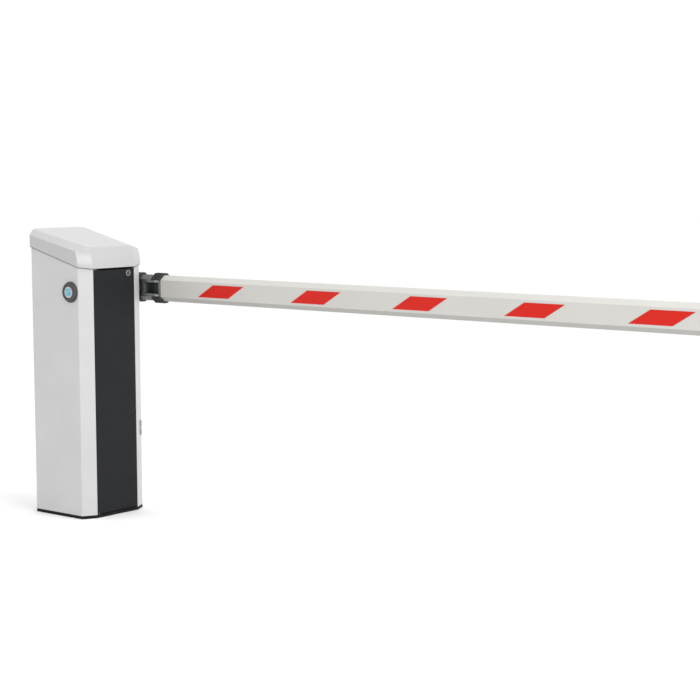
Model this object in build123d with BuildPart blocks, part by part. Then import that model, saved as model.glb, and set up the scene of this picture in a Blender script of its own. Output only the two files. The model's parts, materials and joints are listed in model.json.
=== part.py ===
"""Parking barrier gate: a cabinet with a lift-off hood and a front door, and a 3 m boom on its side.

X runs along the lowered boom, away from the cabinet, +Y is the boom's side and +Z is up. The origin
is the centre of the anchor bolts on the ground. The boom is modelled lowered.
"""
from build123d import *
from math import atan2, cos, degrees, hypot, radians, sin
import os

os.makedirs("parts", exist_ok=True)

# ---- cabinet ----
cabinet_length = 262.0
cabinet_width = 264.0
corner_x = 23.0
corner_y = 43.0
sheet = 2.0
bend_radius = 4.0
base_thickness = 10.0
anchor_spacing_x = 200.0
anchor_spacing_y = 150.0
anchor_hole_radius = 7.0
cable_opening_x = 120.0
cable_opening_y = 110.0
seam_height = 791.5
seam_rise = 0.27

# ---- hood ----
hood_overhang = 3.0
hood_wall = 5.0
hood_rise = 120.5
hood_fall = 0.22
hood_bevel_drop = 14.0
hood_bevel_front = 46.0
hood_bevel_back = 25.0
nose_rake = 18.0
nose_radius = 12.0
rim_lap = 12.0
seal_thickness = 2.0
hood_clearance = 0.4

# ---- front door and its lock ----
door_sheet = 2.0
door_depth = 14.0
door_gap = 1.5
reveal_depth = 15.0
reveal_sheet = 2.5
door_top_gap = 6.5
opening_lap = 2.0
hinge_setback = 4.5
hinge_inset = 9.0
hinge_pin_radius = 2.0
hinge_block_size = 12.0
hinge_boss_height = 8.0
lock_height = 264.0
lock_plate_width = 15.0
lock_plate_height = 50.0
lock_plate_thickness = 2.5
lock_offset = 13.5
lock_barrel_radius = 5.0
cam_reach = 41.0
cam_width = 10.0
cam_thickness = 3.0
cam_depth = 8.0
cam_slot_rise = 30.0
emblem_radius = 10.0
emblem_inset = 24.0
emblem_drop = 20.5

# ---- inner frame ----
post_size = 20.0
post_wall = 2.0
post_inset_x = 49.0
post_inset_y = 25.0
post_lap = 170.0
plate_thickness = 8.0
plate_back_margin = 31.0
plate_front_margin = 23.0
plate_top_gap = 1.5
plate_height = 300.0
plate_window_radius = 26.0
plate_bolt_radius = 4.0
bar_radius = 8.0

# ---- main shaft ----
shaft_setback = 56.0
shaft_drop = 73.5
shaft_radius = 15.0
running_clearance = 0.05
bearing_ring = 11.0
bearing_case_wall = 8.0
bearing_width = 20.0
bearing_screw_radius = 3.0
key_width = 8.0
key_height = 7.0
key_depth = 4.0
side_opening_gap = 11.0
seal_clearance = 0.3
seal_lip = 4.0
washer_radius = 22.0
screw_radius = 6.0
screw_length = 30.0

# ---- crank drive ----
crank_x = -40.0
crank_rise = 70.0
crank_radius = 55.0
crank_angle = 100.0
lever_thickness = 12.0
lever_hub_wall = 9.0
rod_gap = 2.0
rod_thickness = 8.0
rod_plate_gap = 9.0
link_pin_radius = 6.0
link_eye_radius = 12.0
pin_head = 3.0
crank_shaft_radius = 10.0
crank_hub_radius = 20.0
gearbox_length = 90.0
gearbox_width = 90.0
gearbox_height = 110.0
gearbox_edge_radius = 14.0
gearbox_boss_radius = 24.0
gearbox_boss_gap = 4.0
gearbox_cover_radius = 30.0
gearbox_cover_thickness = 4.0
gearbox_bore_depth = 24.0
shelf_thickness = 8.0
motor_radius = 42.0
motor_length = 150.0
motor_flange = 8.0
motor_spigot_radius = 30.0
fin_count = 20
fin_depth = 9.0
fin_width = 3.0
fan_cover_length = 45.0
fan_cover_wall = 2.0
terminal_box_length = 50.0
terminal_box_depth = 26.0
terminal_box_height = 60.0
terminal_box_drop = 20.0

# ---- balance springs ----
sector_radius = 45.0
sector_width = 20.0
sector_hub_wall = 10.0
sector_end_angle = 192.0
strap_thickness = 1.5
strap_width = 16.0
strap_grip_angle = 75.0
sector_lead_angle = 12.0
crosshead_drop = 146.0
crosshead_height = 14.0
crosshead_depth = 24.0
guide_spacing = 76.0
guide_radius = 4.0
spring_spacing = 34.0
spring_radius = 13.0
spring_wire = 3.5
spring_stem = 14.0
spring_stem_radius = 4.0
spring_end_disc = 3.0
spring_reach = 258.0
beam_thickness = 8.0
beam_lip = 24.0

# ---- travel stops ----
stop_plate_gap = 9.0
stop_thickness = 12.0
stop_reach = 50.0
stop_half_width = 7.0
buffer_reach = 40.0
buffer_radius = 8.0
buffer_length = 14.0
buffer_gap = 0.3
stop_block_size = 16.0

# ---- boom and its flange ----
boom_height = 83.0
boom_thickness = 46.0
boom_bevel_z = 14.0
boom_bevel_y = 16.0
boom_wall = 1.6
boom_side_gap = 18.0
boom_length = 2946.0
end_cap_length = 10.0
end_cap_plug = 25.0
flange_back = 45.0
flange_front = 112.0
flange_recess = 12.0
frame_offset = 20.5
hub_wall = 6.0
hub_side_gap = 2.6
pocket_back_wall = 15.5
pocket_front_wall = 9.5
pocket_margin = 9.5
pocket_depth = 30.0
web_thickness = 5.0
web_height = 2.5
spigot_length = 90.0
spigot_clearance = 0.3
spigot_wall = 4.0
clamp_length = 37.0
band_offset = -17.0
band_width = 28.0
band_sheet = 6.0
band_hub_gap = 0.5
clamp_sheet = 4.0
clamp_rib = 3.0
rib_count = 4
bolt_head_length = 18.0
bolt_head_height = 6.5
bolt_head_depth = 2.0
bolt_margin = 1.5
bolt_setback = 8.0
marker_length = 130.0
marker_margin = 7.5
marker_lean = 65.5
marker_pitch = 387.0
marker_offset = 199.0
marker_thickness = 0.4

# ---- blanking cap over the unused shaft opening ----
cap_radius = 31.0
cap_foot_radius = 33.0
cap_projection = 12.0
cap_foot = 3.0
cap_disc_radius = 18.5
cap_disc_depth = 4.0
cap_opening_radius = 28.0

# ---- control equipment ----
mount_sheet = 3.0
mount_bottom = 40.0
mount_top = 290.0
rail_height = 35.0
rail_depth = 7.5
rail_half_length = 90.0
rail_heights = (100.0, 230.0)
terminal_count = 9
terminal_width = 5.2
terminal_pitch = 5.6
terminal_start = 30.0
terminal_height = 48.0
terminal_depth = 38.0

# ---- sizes that follow from the ones above ----
front = cabinet_length / 2
side = cabinet_width / 2
front_half = side - corner_y
hood_height = seam_height + hood_rise
hood_front = front + hood_overhang
hood_side = side + hood_overhang
opening_half = front_half - 1.0
door_half = opening_half - door_gap
door_bottom = base_thickness + 2.5
door_top = seam_height - door_top_gap
opening_top = seam_height + opening_lap
hinge_block_bottom = door_top + door_gap
hinge_x = front - hinge_setback
hinge_y = -(door_half - hinge_inset)
post_x = front - post_inset_x
post_y = side - post_inset_y
plate_back = plate_back_margin - front
plate_front = front - plate_front_margin
plate_top = seam_height - plate_top_gap
plate_bottom = plate_top - plate_height
post_top = plate_bottom + post_lap
plate_inner = post_y - post_size / 2 - plate_thickness
plate_outer = plate_inner + plate_thickness
shaft_x = front - shaft_setback
shaft_z = seam_height - shaft_drop
bearing_radius = shaft_radius + bearing_ring
bearing_case_radius = bearing_radius + bearing_case_wall
side_opening_radius = shaft_radius + side_opening_gap
lever_hub_radius = shaft_radius + lever_hub_wall
crank_z = plate_bottom + crank_rise
rod_far = plate_inner - rod_plate_gap
rod_near = rod_far - rod_thickness
lever_far = rod_near - rod_gap
lever_near = lever_far - lever_thickness
stop_near = stop_plate_gap - plate_inner
lever_tip_x = shaft_x + crank_radius * cos(radians(crank_angle))
lever_tip_z = shaft_z + crank_radius * sin(radians(crank_angle))
crank_tip_x = crank_x + crank_radius * cos(radians(crank_angle))
crank_tip_z = crank_z + crank_radius * sin(radians(crank_angle))
gearbox_bottom = crank_z - gearbox_height / 2
shelf_bottom = gearbox_bottom - shelf_thickness
spring_x = shaft_x - sector_radius - strap_thickness / 2
crosshead_z = shaft_z - crosshead_drop
beam_z = crosshead_z - spring_reach - beam_thickness
boom_near = side + boom_side_gap
hub_near = side + hub_side_gap
hub_radius = shaft_radius + hub_wall
boom_start = shaft_x + flange_front
boom_end = boom_start + boom_length
clamp_start = boom_start - clamp_length
band_start = shaft_x + band_offset
band_end = band_start + band_width
band_split = 2 * (max(hub_radius, washer_radius) + band_hub_gap)
clamp_split = boom_height - 2 * boom_bevel_z
frame_start = shaft_x + frame_offset
pocket_start = frame_start + pocket_back_wall
pocket_end = boom_start - pocket_front_wall
frame_half = boom_height / 2 - boom_bevel_z
pocket_height = 2 * (frame_half - pocket_margin)
marker_height = boom_height - 2 * (boom_bevel_z + marker_margin)
marker_first = boom_start + marker_offset
boom_middle = boom_near + boom_thickness / 2
boom_far = boom_near + boom_thickness
flange_start = shaft_x - flange_back
bolt_rows_x = (-post_x, post_x)
bolt_rows_z = (plate_bottom + 30.0, post_top - 20.0)


def block(x0, x1, y0, y1, z0, z1, mode=Mode.ADD):
    """A box between two corners."""
    with Locations(((x0 + x1) / 2, (y0 + y1) / 2, (z0 + z1) / 2)):
        Box(x1 - x0, y1 - y0, z1 - z0, mode=mode)


def rod_x(x0, x1, y, z, radius, mode=Mode.ADD):
    """A round bar along X."""
    with Locations(Location(((x0 + x1) / 2, y, z), (0, 90, 0))):
        Cylinder(radius, x1 - x0, mode=mode)


def rod_y(x, y0, y1, z, radius, mode=Mode.ADD):
    """A round bar along Y."""
    with Locations(Location((x, (y0 + y1) / 2, z), (90, 0, 0))):
        Cylinder(radius, y1 - y0, mode=mode)


def rod_z(x, y, z0, z1, radius, mode=Mode.ADD):
    """A round bar along Z."""
    with Locations((x, y, (z0 + z1) / 2)):
        Cylinder(radius, z1 - z0, mode=mode)


def side_plane(y):
    """The plane across Y whose own axes are X and Z."""
    return Plane.XZ.offset(-y)


def save(piece, name):
    """Label a finished piece and write it."""
    piece.part.label = name
    export_step(piece.part, f"parts/{name}.step")


def cabinet_plan(outset=0.0):
    """The cabinet's outline from above, a rectangle with cut corners, moved out by outset."""
    with BuildSketch() as plan:
        with BuildLine():
            Polyline(
                (front, -front_half),
                (front, front_half),
                (front - corner_x, side),
                (corner_x - front, side),
                (-front, front_half),
                (-front, -front_half),
                (corner_x - front, -side),
                (front - corner_x, -side),
                close=True,
            )
        make_face()
        fillet(plan.vertices(), bend_radius)
        if outset:
            offset(amount=outset, kind=Kind.INTERSECTION)
    return plan.sketch


def seam_plane(lift):
    """The slanted plane of the hood's lower edge, raised by lift."""
    return Plane(origin=(front, 0, seam_height + lift), x_dir=(0, 1, 0), z_dir=(seam_rise, 0, 1))


# ---- cabinet shell and base ----
with BuildPart() as base_plate:
    with BuildSketch():
        add(cabinet_plan())
        Rectangle(cable_opening_x, cable_opening_y, mode=Mode.SUBTRACT)
        with GridLocations(anchor_spacing_x, anchor_spacing_y, 2, 2):
            Circle(anchor_hole_radius, mode=Mode.SUBTRACT)
    extrude(amount=base_thickness)
    rod_z(hinge_x, hinge_y, base_thickness / 2, base_thickness, hinge_pin_radius + running_clearance,
          mode=Mode.SUBTRACT)
save(base_plate, "base_plate")

lock_middle = Vector(front - corner_x / 2, (front_half + side) / 2, lock_height)
facet_length = hypot(corner_x, corner_y)
facet_along = Vector(-corner_x, corner_y, 0) / facet_length
facet_out = Vector(corner_y, corner_x, 0) / facet_length
lock_centre = lock_middle + facet_along * lock_offset
lock_plane = Plane(origin=lock_centre, x_dir=facet_along, z_dir=facet_out)

with BuildPart() as housing:
    with BuildSketch(Plane.XY.offset(base_thickness)):
        add(cabinet_plan())
        add(cabinet_plan(-sheet), mode=Mode.SUBTRACT)
    extrude(amount=hood_height - base_thickness)
    split(bisect_by=seam_plane(rim_lap), keep=Keep.BOTTOM)
    block(front - sheet - 1, front + 1, -opening_half, opening_half, base_thickness, opening_top,
          mode=Mode.SUBTRACT)
    for reveal in (-1, 1):
        edges_y = sorted((reveal * opening_half, reveal * (opening_half + reveal_sheet)))
        block(front - reveal_depth, front - reveal_sheet / 2, *edges_y, base_thickness, seam_height)
    block(front - sheet - 1, front + 1, -opening_half, hinge_y + hinge_block_size / 2 + 0.3,
          opening_top, hinge_block_bottom + hinge_block_size + 0.3, mode=Mode.SUBTRACT)
    rod_y(shaft_x, side - sheet - 1, side + 1, shaft_z, side_opening_radius, mode=Mode.SUBTRACT)
    rod_y(shaft_x, -side - 1, sheet + 1 - side, shaft_z, cap_opening_radius, mode=Mode.SUBTRACT)
    with BuildSketch(lock_plane):
        Circle(lock_barrel_radius + running_clearance)
    extrude(amount=-sheet * 2, mode=Mode.SUBTRACT)
    block(front - reveal_depth + 1, front - 4, opening_half - 1, opening_half + reveal_sheet + 1.5,
          lock_height - cam_width * 0.7, lock_height + cam_slot_rise, mode=Mode.SUBTRACT)
save(housing, "housing")


def crown(x, wall=0.0):
    """The height of the hood's slanted top at X."""
    return hood_height - wall - hood_fall * (x + hood_front)


def hood_profile(y, end_inset, wall=0.0):
    """The hood's side profile at one Y: slanted top, raked front and slanted lower edge."""
    foot_x = hood_front - end_inset - wall
    brow_x = foot_x - nose_rake
    foot = (foot_x, seam_height - wall + seam_rise * (front - foot_x))
    tail_bottom = seam_height - wall + seam_rise * (front + foot_x)
    with BuildSketch(side_plane(y)) as outline:
        with BuildLine():
            Polyline((brow_x, crown(brow_x, wall)), (-foot_x, crown(-foot_x, wall)),
                     (-foot_x, tail_bottom), foot)
            TangentArc(foot, (brow_x, crown(brow_x, wall)), tangent=(0, 1))
        make_face()
        brow = (brow_x, crown(brow_x, wall))
        fillet(outline.vertices().sort_by_distance(brow)[0], nose_radius)
    return outline.sketch


def bevel_section(x, bevel_width, wall=0.0):
    """The hood's section across X: a flat crown between two bevels of one width."""
    edge_y = hood_side - wall
    crown_y = edge_y - bevel_width
    bevel_foot = crown(x, wall) - hood_bevel_drop
    with BuildSketch(Plane(origin=(x, 0, 0), x_dir=(0, 1, 0), z_dir=(1, 0, 0))) as section:
        with BuildLine():
            Polyline((-edge_y, seam_height / 2), (-edge_y, bevel_foot), (-crown_y, crown(x, wall)),
                     (crown_y, crown(x, wall)), (edge_y, bevel_foot), (edge_y, seam_height / 2),
                     close=True)
        make_face()
    return section.sketch


def hood_solid(wall=0.0):
    """The hood's body: its side profile drawn across, under bevels that narrow towards the back."""
    facet_y = front_half + hood_overhang - wall / 2
    edge_y = hood_side - wall
    with BuildPart() as body:
        loft([hood_profile(-edge_y, corner_x, wall), hood_profile(-facet_y, 0, wall),
              hood_profile(facet_y, 0, wall), hood_profile(edge_y, corner_x, wall)], ruled=True)
        loft([bevel_section(-hood_front, hood_bevel_back, wall),
              bevel_section(hood_front, hood_bevel_front, wall)], ruled=True, mode=Mode.INTERSECT)
    return body.part


with BuildPart() as hood_seat:
    with BuildSketch(Plane.XY.offset(seam_height / 2)):
        add(cabinet_plan(hood_clearance))
    extrude(amount=seam_height)
    split(bisect_by=seam_plane(rim_lap + seal_thickness), keep=Keep.BOTTOM)

with BuildPart() as hood:
    add(hood_solid())
    add(hood_solid(hood_wall), mode=Mode.SUBTRACT)
    add(hood_seat.part, mode=Mode.SUBTRACT)
save(hood, "hood")

with BuildPart() as hood_seal:
    with BuildSketch(Plane.XY.offset(seam_height)):
        add(cabinet_plan())
        add(cabinet_plan(-sheet - 1.5), mode=Mode.SUBTRACT)
    extrude(amount=hood_height - seam_height)
    split(bisect_by=seam_plane(rim_lap + seal_thickness), keep=Keep.BOTTOM)
    split(bisect_by=seam_plane(rim_lap), keep=Keep.TOP)
save(hood_seal, "hood_seal")

# ---- front door, hinge and lock ----
half_boss = hinge_block_size / 2
lower_boss_top = door_bottom + door_sheet + hinge_boss_height
upper_boss = door_top - door_sheet - hinge_boss_height
with BuildPart() as front_door:
    block(front - door_depth, front, -door_half, door_half, door_bottom, door_top)
    block(front - door_depth - 1, front - door_sheet, door_sheet - door_half, door_half - door_sheet,
          door_bottom + door_sheet, door_top - door_sheet, mode=Mode.SUBTRACT)
    for boss_bottom in (door_bottom + door_sheet, upper_boss):
        block(hinge_x - half_boss, front - door_sheet, hinge_y - half_boss, hinge_y + half_boss,
              boss_bottom, boss_bottom + hinge_boss_height)
    rod_z(hinge_x, hinge_y, door_bottom - 1, lower_boss_top, hinge_pin_radius, mode=Mode.SUBTRACT)
    rod_z(hinge_x, hinge_y, upper_boss, door_top + 1, hinge_pin_radius, mode=Mode.SUBTRACT)
    block(front - door_depth - 1, front - door_sheet - 1, door_half - door_sheet - 1, door_half + 1,
          lock_height - cam_width * 0.7, lock_height + cam_slot_rise - cam_width * 0.7,
          mode=Mode.SUBTRACT)
    fillet(front_door.edges().filter_by(Axis.Z).group_by(Axis.X)[-1], 0.8)
save(front_door, "front_door")

pin_reach = hinge_block_bottom + hinge_block_size - 1
with BuildPart() as door_pins:
    rod_z(hinge_x, hinge_y, base_thickness / 2 + 0.5, lower_boss_top, hinge_pin_radius)
    rod_z(hinge_x, hinge_y, upper_boss, pin_reach, hinge_pin_radius)
save(door_pins, "door_pins")

with BuildPart() as hinge_block:
    block(front - reveal_depth, front, -opening_half, hinge_y + hinge_block_size / 2,
          hinge_block_bottom, hinge_block_bottom + hinge_block_size)
    rod_z(hinge_x, hinge_y, hinge_block_bottom - 1, pin_reach + 0.5, hinge_pin_radius + running_clearance,
          mode=Mode.SUBTRACT)
save(hinge_block, "hinge_block")

with BuildPart() as door_emblem:
    rod_x(front, front + 1.0, door_half - emblem_inset, seam_height - emblem_drop, emblem_radius)
    rod_x(front + 0.5, front + 2, door_half - emblem_inset + emblem_radius / 3,
          seam_height - emblem_drop + emblem_radius / 4, emblem_radius * 0.62, mode=Mode.SUBTRACT)
save(door_emblem, "door_emblem")

with BuildPart() as lock_plate:
    with BuildSketch(lock_plane):
        SlotOverall(lock_plate_height, lock_plate_width, rotation=90)
        Circle(lock_barrel_radius + running_clearance, mode=Mode.SUBTRACT)
    extrude(amount=lock_plate_thickness)
save(lock_plate, "lock_plate")

with BuildPart() as lock_barrel:
    with BuildSketch(lock_plane.offset(lock_plate_thickness + 0.5)):
        Circle(lock_barrel_radius)
        Rectangle(1.6, 6.0, mode=Mode.SUBTRACT)
    extrude(amount=-2.0)
    with BuildSketch(lock_plane.offset(lock_plate_thickness - 1.5)):
        Circle(lock_barrel_radius)
    extrude(amount=-(lock_plate_thickness + cam_depth - 1.5))
    with BuildSketch(lock_plane.offset(-cam_depth)):
        with Locations((0, cam_reach / 2)):
            Rectangle(cam_width, cam_reach)
        Circle(cam_width * 0.6)
    extrude(amount=-cam_thickness)
save(lock_barrel, "lock_barrel")

# ---- inner frame ----
with BuildPart() as frame_posts:
    with BuildSketch(Plane.XY.offset(base_thickness)):
        with GridLocations(2 * post_x, 2 * post_y, 2, 2):
            Rectangle(post_size, post_size)
            Rectangle(post_size - 2 * post_wall, post_size - 2 * post_wall, mode=Mode.SUBTRACT)
    extrude(amount=post_top - base_thickness)
    for bolt_x in bolt_rows_x:
        for bolt_z in bolt_rows_z:
            for hand in (-1, 1):
                holes_y = sorted((hand * plate_inner, hand * (plate_outer + post_wall)))
                rod_y(bolt_x, *holes_y, bolt_z, plate_bolt_radius, mode=Mode.SUBTRACT)
save(frame_posts, "frame_posts")


def side_plate(hand):
    """One of the two steel plates that carry the shaft; hand is 1 on the boom's side."""
    ends_y = sorted((hand * plate_inner, hand * plate_outer))
    with BuildPart() as plate:
        block(plate_back, plate_front, *ends_y, plate_bottom, plate_top)
        corners = plate.edges().filter_by(Axis.Y).group_by(Axis.Z)[-1]
        chamfer(corners, 20)
        rod_y(shaft_x, *ends_y, shaft_z, bearing_radius - 6, mode=Mode.SUBTRACT)
        rod_y(-post_x / 2, *ends_y, shaft_z + 5, plate_window_radius, mode=Mode.SUBTRACT)
        for bolt_x in bolt_rows_x:
            for bolt_z in bolt_rows_z:
                rod_y(bolt_x, *ends_y, bolt_z, plate_bolt_radius, mode=Mode.SUBTRACT)
        for screw_angle in (45, 135, 225, 315):
            rod_y(bearing_screw_x(screw_angle), *ends_y, bearing_screw_z(screw_angle),
                  bearing_screw_radius, mode=Mode.SUBTRACT)
    return plate


def bearing_screw_x(angle):
    """X of a bearing screw at an angle round the shaft."""
    return shaft_x + (bearing_radius + bearing_case_radius) / 2 * cos(radians(angle))


def bearing_screw_z(angle):
    """Z of a bearing screw at an angle round the shaft."""
    return shaft_z + (bearing_radius + bearing_case_radius) / 2 * sin(radians(angle))


side_plate_left = side_plate(-1)
save(side_plate_left, "side_plate_left")
side_plate_right = side_plate(1)
save(side_plate_right, "side_plate_right")

with BuildPart() as plate_bolts:
    for bolt_x in bolt_rows_x:
        for bolt_z in bolt_rows_z:
            for hand in (-1, 1):
                shank = sorted((hand * plate_inner, hand * (plate_outer + post_wall)))
                head = Plane.XZ.offset(-hand * plate_inner)
                rod_y(bolt_x, *shank, bolt_z, plate_bolt_radius)
                with BuildSketch(head):
                    with Locations((bolt_x, bolt_z)):
                        RegularPolygon(plate_bolt_radius * 1.85, 6)
                extrude(amount=hand * 5.0)
save(plate_bolts, "plate_bolts")

bar_inset = 15.0
bar_places = (
    (plate_back + bar_inset, plate_top - 20),
    (plate_back + bar_inset, plate_top - 100),
    (shaft_x - bar_inset, plate_bottom + 40),
)
with BuildPart() as cross_bars:
    for bar_x, bar_z in bar_places:
        rod_y(bar_x, -plate_inner, plate_inner, bar_z, bar_radius)
save(cross_bars, "cross_bars")

# ---- main shaft and its bearings ----
shaft_end = boom_far - 10
key_spans = (
    (lever_near, lever_far),
    (-sector_width / 2, sector_width / 2),
    (stop_near, stop_near + stop_thickness),
    (hub_near + 6, boom_near + 20),
)
key_top = shaft_z + shaft_radius - key_depth + key_height


def key_blocks(spans, mode=Mode.ADD):
    """Parallel keys on top of the shaft, or the slots for them."""
    for near, far in spans:
        block(shaft_x - key_width / 2, shaft_x + key_width / 2, near, far, key_top - key_height,
              key_top, mode=mode)


with BuildPart() as main_shaft:
    rod_y(shaft_x, -plate_outer - bearing_width - 2, shaft_end, shaft_z, shaft_radius)
    key_blocks(key_spans, mode=Mode.SUBTRACT)
    rod_y(shaft_x, boom_far - screw_length, shaft_end, shaft_z, screw_radius, mode=Mode.SUBTRACT)
save(main_shaft, "main_shaft")

with BuildPart() as shaft_keys:
    key_blocks(key_spans)
save(shaft_keys, "shaft_keys")

with BuildPart() as bearing_cases:
    for hand in (-1, 1):
        ends_y = sorted((hand * plate_outer, hand * (plate_outer + bearing_width)))
        rod_y(shaft_x, *ends_y, shaft_z, bearing_case_radius)
        rod_y(shaft_x, *ends_y, shaft_z, bearing_radius, mode=Mode.SUBTRACT)
        for screw_angle in (45, 135, 225, 315):
            rod_y(bearing_screw_x(screw_angle), *ends_y, bearing_screw_z(screw_angle),
                  bearing_screw_radius, mode=Mode.SUBTRACT)
save(bearing_cases, "bearing_cases")

with BuildPart() as shaft_bearings:
    for hand in (-1, 1):
        ends_y = sorted((hand * plate_outer, hand * (plate_outer + bearing_width - 4)))
        rod_y(shaft_x, *ends_y, shaft_z, bearing_radius)
        rod_y(shaft_x, *ends_y, shaft_z, shaft_radius + running_clearance, mode=Mode.SUBTRACT)
save(shaft_bearings, "shaft_bearings")

with BuildPart() as bearing_screws:
    for hand in (-1, 1):
        shank = sorted((hand * plate_inner, hand * (plate_outer + bearing_width)))
        head = sorted((hand * (plate_outer + bearing_width), hand * (plate_outer + bearing_width + 4)))
        for screw_angle in (45, 135, 225, 315):
            place = (bearing_screw_x(screw_angle), bearing_screw_z(screw_angle))
            rod_y(place[0], *shank, place[1], bearing_screw_radius)
            rod_y(place[0], *head, place[1], bearing_screw_radius * 1.6)
save(bearing_screws, "bearing_screws")

with BuildPart() as shaft_seal:
    rod_y(shaft_x, side - sheet - 2, side, shaft_z, side_opening_radius)
    rod_y(shaft_x, side, hub_near - 0.6, shaft_z, side_opening_radius + seal_lip)
    rod_y(shaft_x, side - sheet - 3, hub_near, shaft_z, shaft_radius + seal_clearance,
          mode=Mode.SUBTRACT)
save(shaft_seal, "shaft_seal")


# ---- crank drive ----
def link_arm(hub_x, hub_z, tip_x, tip_z, hub_r, near, far):
    """An arm from a hub to an eye, drawn as two discs and the web between them."""
    angle = degrees(atan2(tip_z - hub_z, tip_x - hub_x))
    span = hypot(tip_x - hub_x, tip_z - hub_z)
    with BuildSketch(side_plane(near)) as arm:
        with Locations((hub_x, hub_z)):
            Circle(hub_r)
        with Locations((tip_x, tip_z)):
            Circle(link_eye_radius)
        with Locations(Location(((hub_x + tip_x) / 2, (hub_z + tip_z) / 2), angle)):
            Rectangle(span, 2 * link_eye_radius - 4)
    extrude(arm.sketch, amount=near - far)


with BuildPart() as drive_lever:
    link_arm(shaft_x, shaft_z, lever_tip_x, lever_tip_z, lever_hub_radius, lever_near, lever_far)
    rod_y(shaft_x, lever_near, lever_far, shaft_z, shaft_radius, mode=Mode.SUBTRACT)
    key_blocks(key_spans[:1], mode=Mode.SUBTRACT)
    rod_y(lever_tip_x, lever_near, lever_far, lever_tip_z, link_pin_radius, mode=Mode.SUBTRACT)
save(drive_lever, "drive_lever")

with BuildPart() as crank_arm:
    link_arm(crank_x, crank_z, crank_tip_x, crank_tip_z, crank_hub_radius, lever_near, lever_far)
    rod_y(crank_x, lever_near, lever_far, crank_z, crank_shaft_radius, mode=Mode.SUBTRACT)
    rod_y(crank_tip_x, lever_near, lever_far, crank_tip_z, link_pin_radius, mode=Mode.SUBTRACT)
save(crank_arm, "crank_arm")


def link_pin(x, z):
    """A headed pin through an arm and the end of the connecting rod."""
    with BuildPart() as pin:
        rod_y(x, lever_near, rod_far + 1.5, z, link_pin_radius)
        rod_y(x, lever_near - pin_head, lever_near, z, link_pin_radius + pin_head)
        rod_y(x, rod_far + 0.5, rod_far + 2, z, link_pin_radius + 2.5)
    return pin


lever_pin = link_pin(lever_tip_x, lever_tip_z)
save(lever_pin, "lever_pin")
crank_pin = link_pin(crank_tip_x, crank_tip_z)
save(crank_pin, "crank_pin")

with BuildPart() as connecting_rod:
    link_arm(crank_tip_x, crank_tip_z, lever_tip_x, lever_tip_z, link_eye_radius, rod_near, rod_far)
    rod_y(crank_tip_x, rod_near, rod_far, crank_tip_z, link_pin_radius + running_clearance,
          mode=Mode.SUBTRACT)
    rod_y(lever_tip_x, rod_near, rod_far, lever_tip_z, link_pin_radius + 2 * running_clearance,
          mode=Mode.SUBTRACT)
save(connecting_rod, "connecting_rod")

gearbox_half = gearbox_length / 2
gearbox_side = gearbox_width / 2
boss_end = lever_near - gearbox_boss_gap
with BuildPart() as gearbox:
    block(crank_x - gearbox_half, crank_x + gearbox_half, -gearbox_side, gearbox_side,
          gearbox_bottom, gearbox_bottom + gearbox_height)
    fillet(gearbox.edges().filter_by(Axis.Y), gearbox_edge_radius)
    rod_y(crank_x, gearbox_side, boss_end, crank_z, gearbox_boss_radius)
    rod_y(crank_x, -gearbox_side - gearbox_cover_thickness, -gearbox_side, crank_z,
          gearbox_cover_radius)
    rod_y(crank_x, boss_end - gearbox_bore_depth, boss_end, crank_z,
          crank_shaft_radius + running_clearance, mode=Mode.SUBTRACT)
save(gearbox, "gearbox")

with BuildPart() as gearbox_shaft:
    rod_y(crank_x, boss_end - gearbox_bore_depth + 0.5, lever_far, crank_z, crank_shaft_radius)
save(gearbox_shaft, "gearbox_shaft")

with BuildPart() as gearbox_shelf:
    block(plate_back, crank_x + gearbox_half + 3, -plate_inner, plate_inner, shelf_bottom,
          gearbox_bottom)
    rod_z(crank_x, 0, shelf_bottom, gearbox_bottom, motor_spigot_radius, mode=Mode.SUBTRACT)
save(gearbox_shelf, "gearbox_shelf")

motor_top = shelf_bottom - motor_flange
motor_bottom = motor_top - motor_length
fan_cover_bottom = motor_bottom - fan_cover_length
with BuildPart() as motor:
    rod_z(crank_x, 0, motor_bottom, motor_top, motor_radius - fin_depth * 2 / 3)
    rod_z(crank_x, 0, shelf_bottom, gearbox_bottom, motor_spigot_radius)
    with BuildSketch(Plane.XY.offset(motor_top)):
        with Locations((crank_x, 0)):
            RectangleRounded(2 * motor_radius, 2 * motor_radius, 12)
    extrude(amount=motor_flange)
    with BuildSketch(Plane.XY.offset(motor_bottom)):
        with Locations((crank_x, 0)):
            with PolarLocations(motor_radius - fin_depth / 2, fin_count):
                Rectangle(fin_depth, fin_width)
    extrude(amount=motor_length)
save(motor, "motor")

with BuildPart() as motor_fan_cover:
    rod_z(crank_x, 0, fan_cover_bottom, motor_bottom, motor_radius)
    rod_z(crank_x, 0, fan_cover_bottom + fan_cover_wall, motor_bottom, motor_radius - fan_cover_wall,
          mode=Mode.SUBTRACT)
    with BuildSketch(Plane.XY.offset(fan_cover_bottom)):
        with Locations((crank_x, 0)):
            with PolarLocations(motor_radius * 0.6, 12):
                Rectangle(motor_radius * 0.43, 3)
    extrude(amount=fan_cover_wall, mode=Mode.SUBTRACT)
save(motor_fan_cover, "motor_fan_cover")

with BuildPart() as terminal_box:
    block(crank_x - terminal_box_length / 2, crank_x + terminal_box_length / 2, motor_radius,
          motor_radius + terminal_box_depth, motor_top - terminal_box_drop - terminal_box_height,
          motor_top - terminal_box_drop)
    fillet(terminal_box.edges().filter_by(Axis.Y), 4)
save(terminal_box, "terminal_box")

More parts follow.
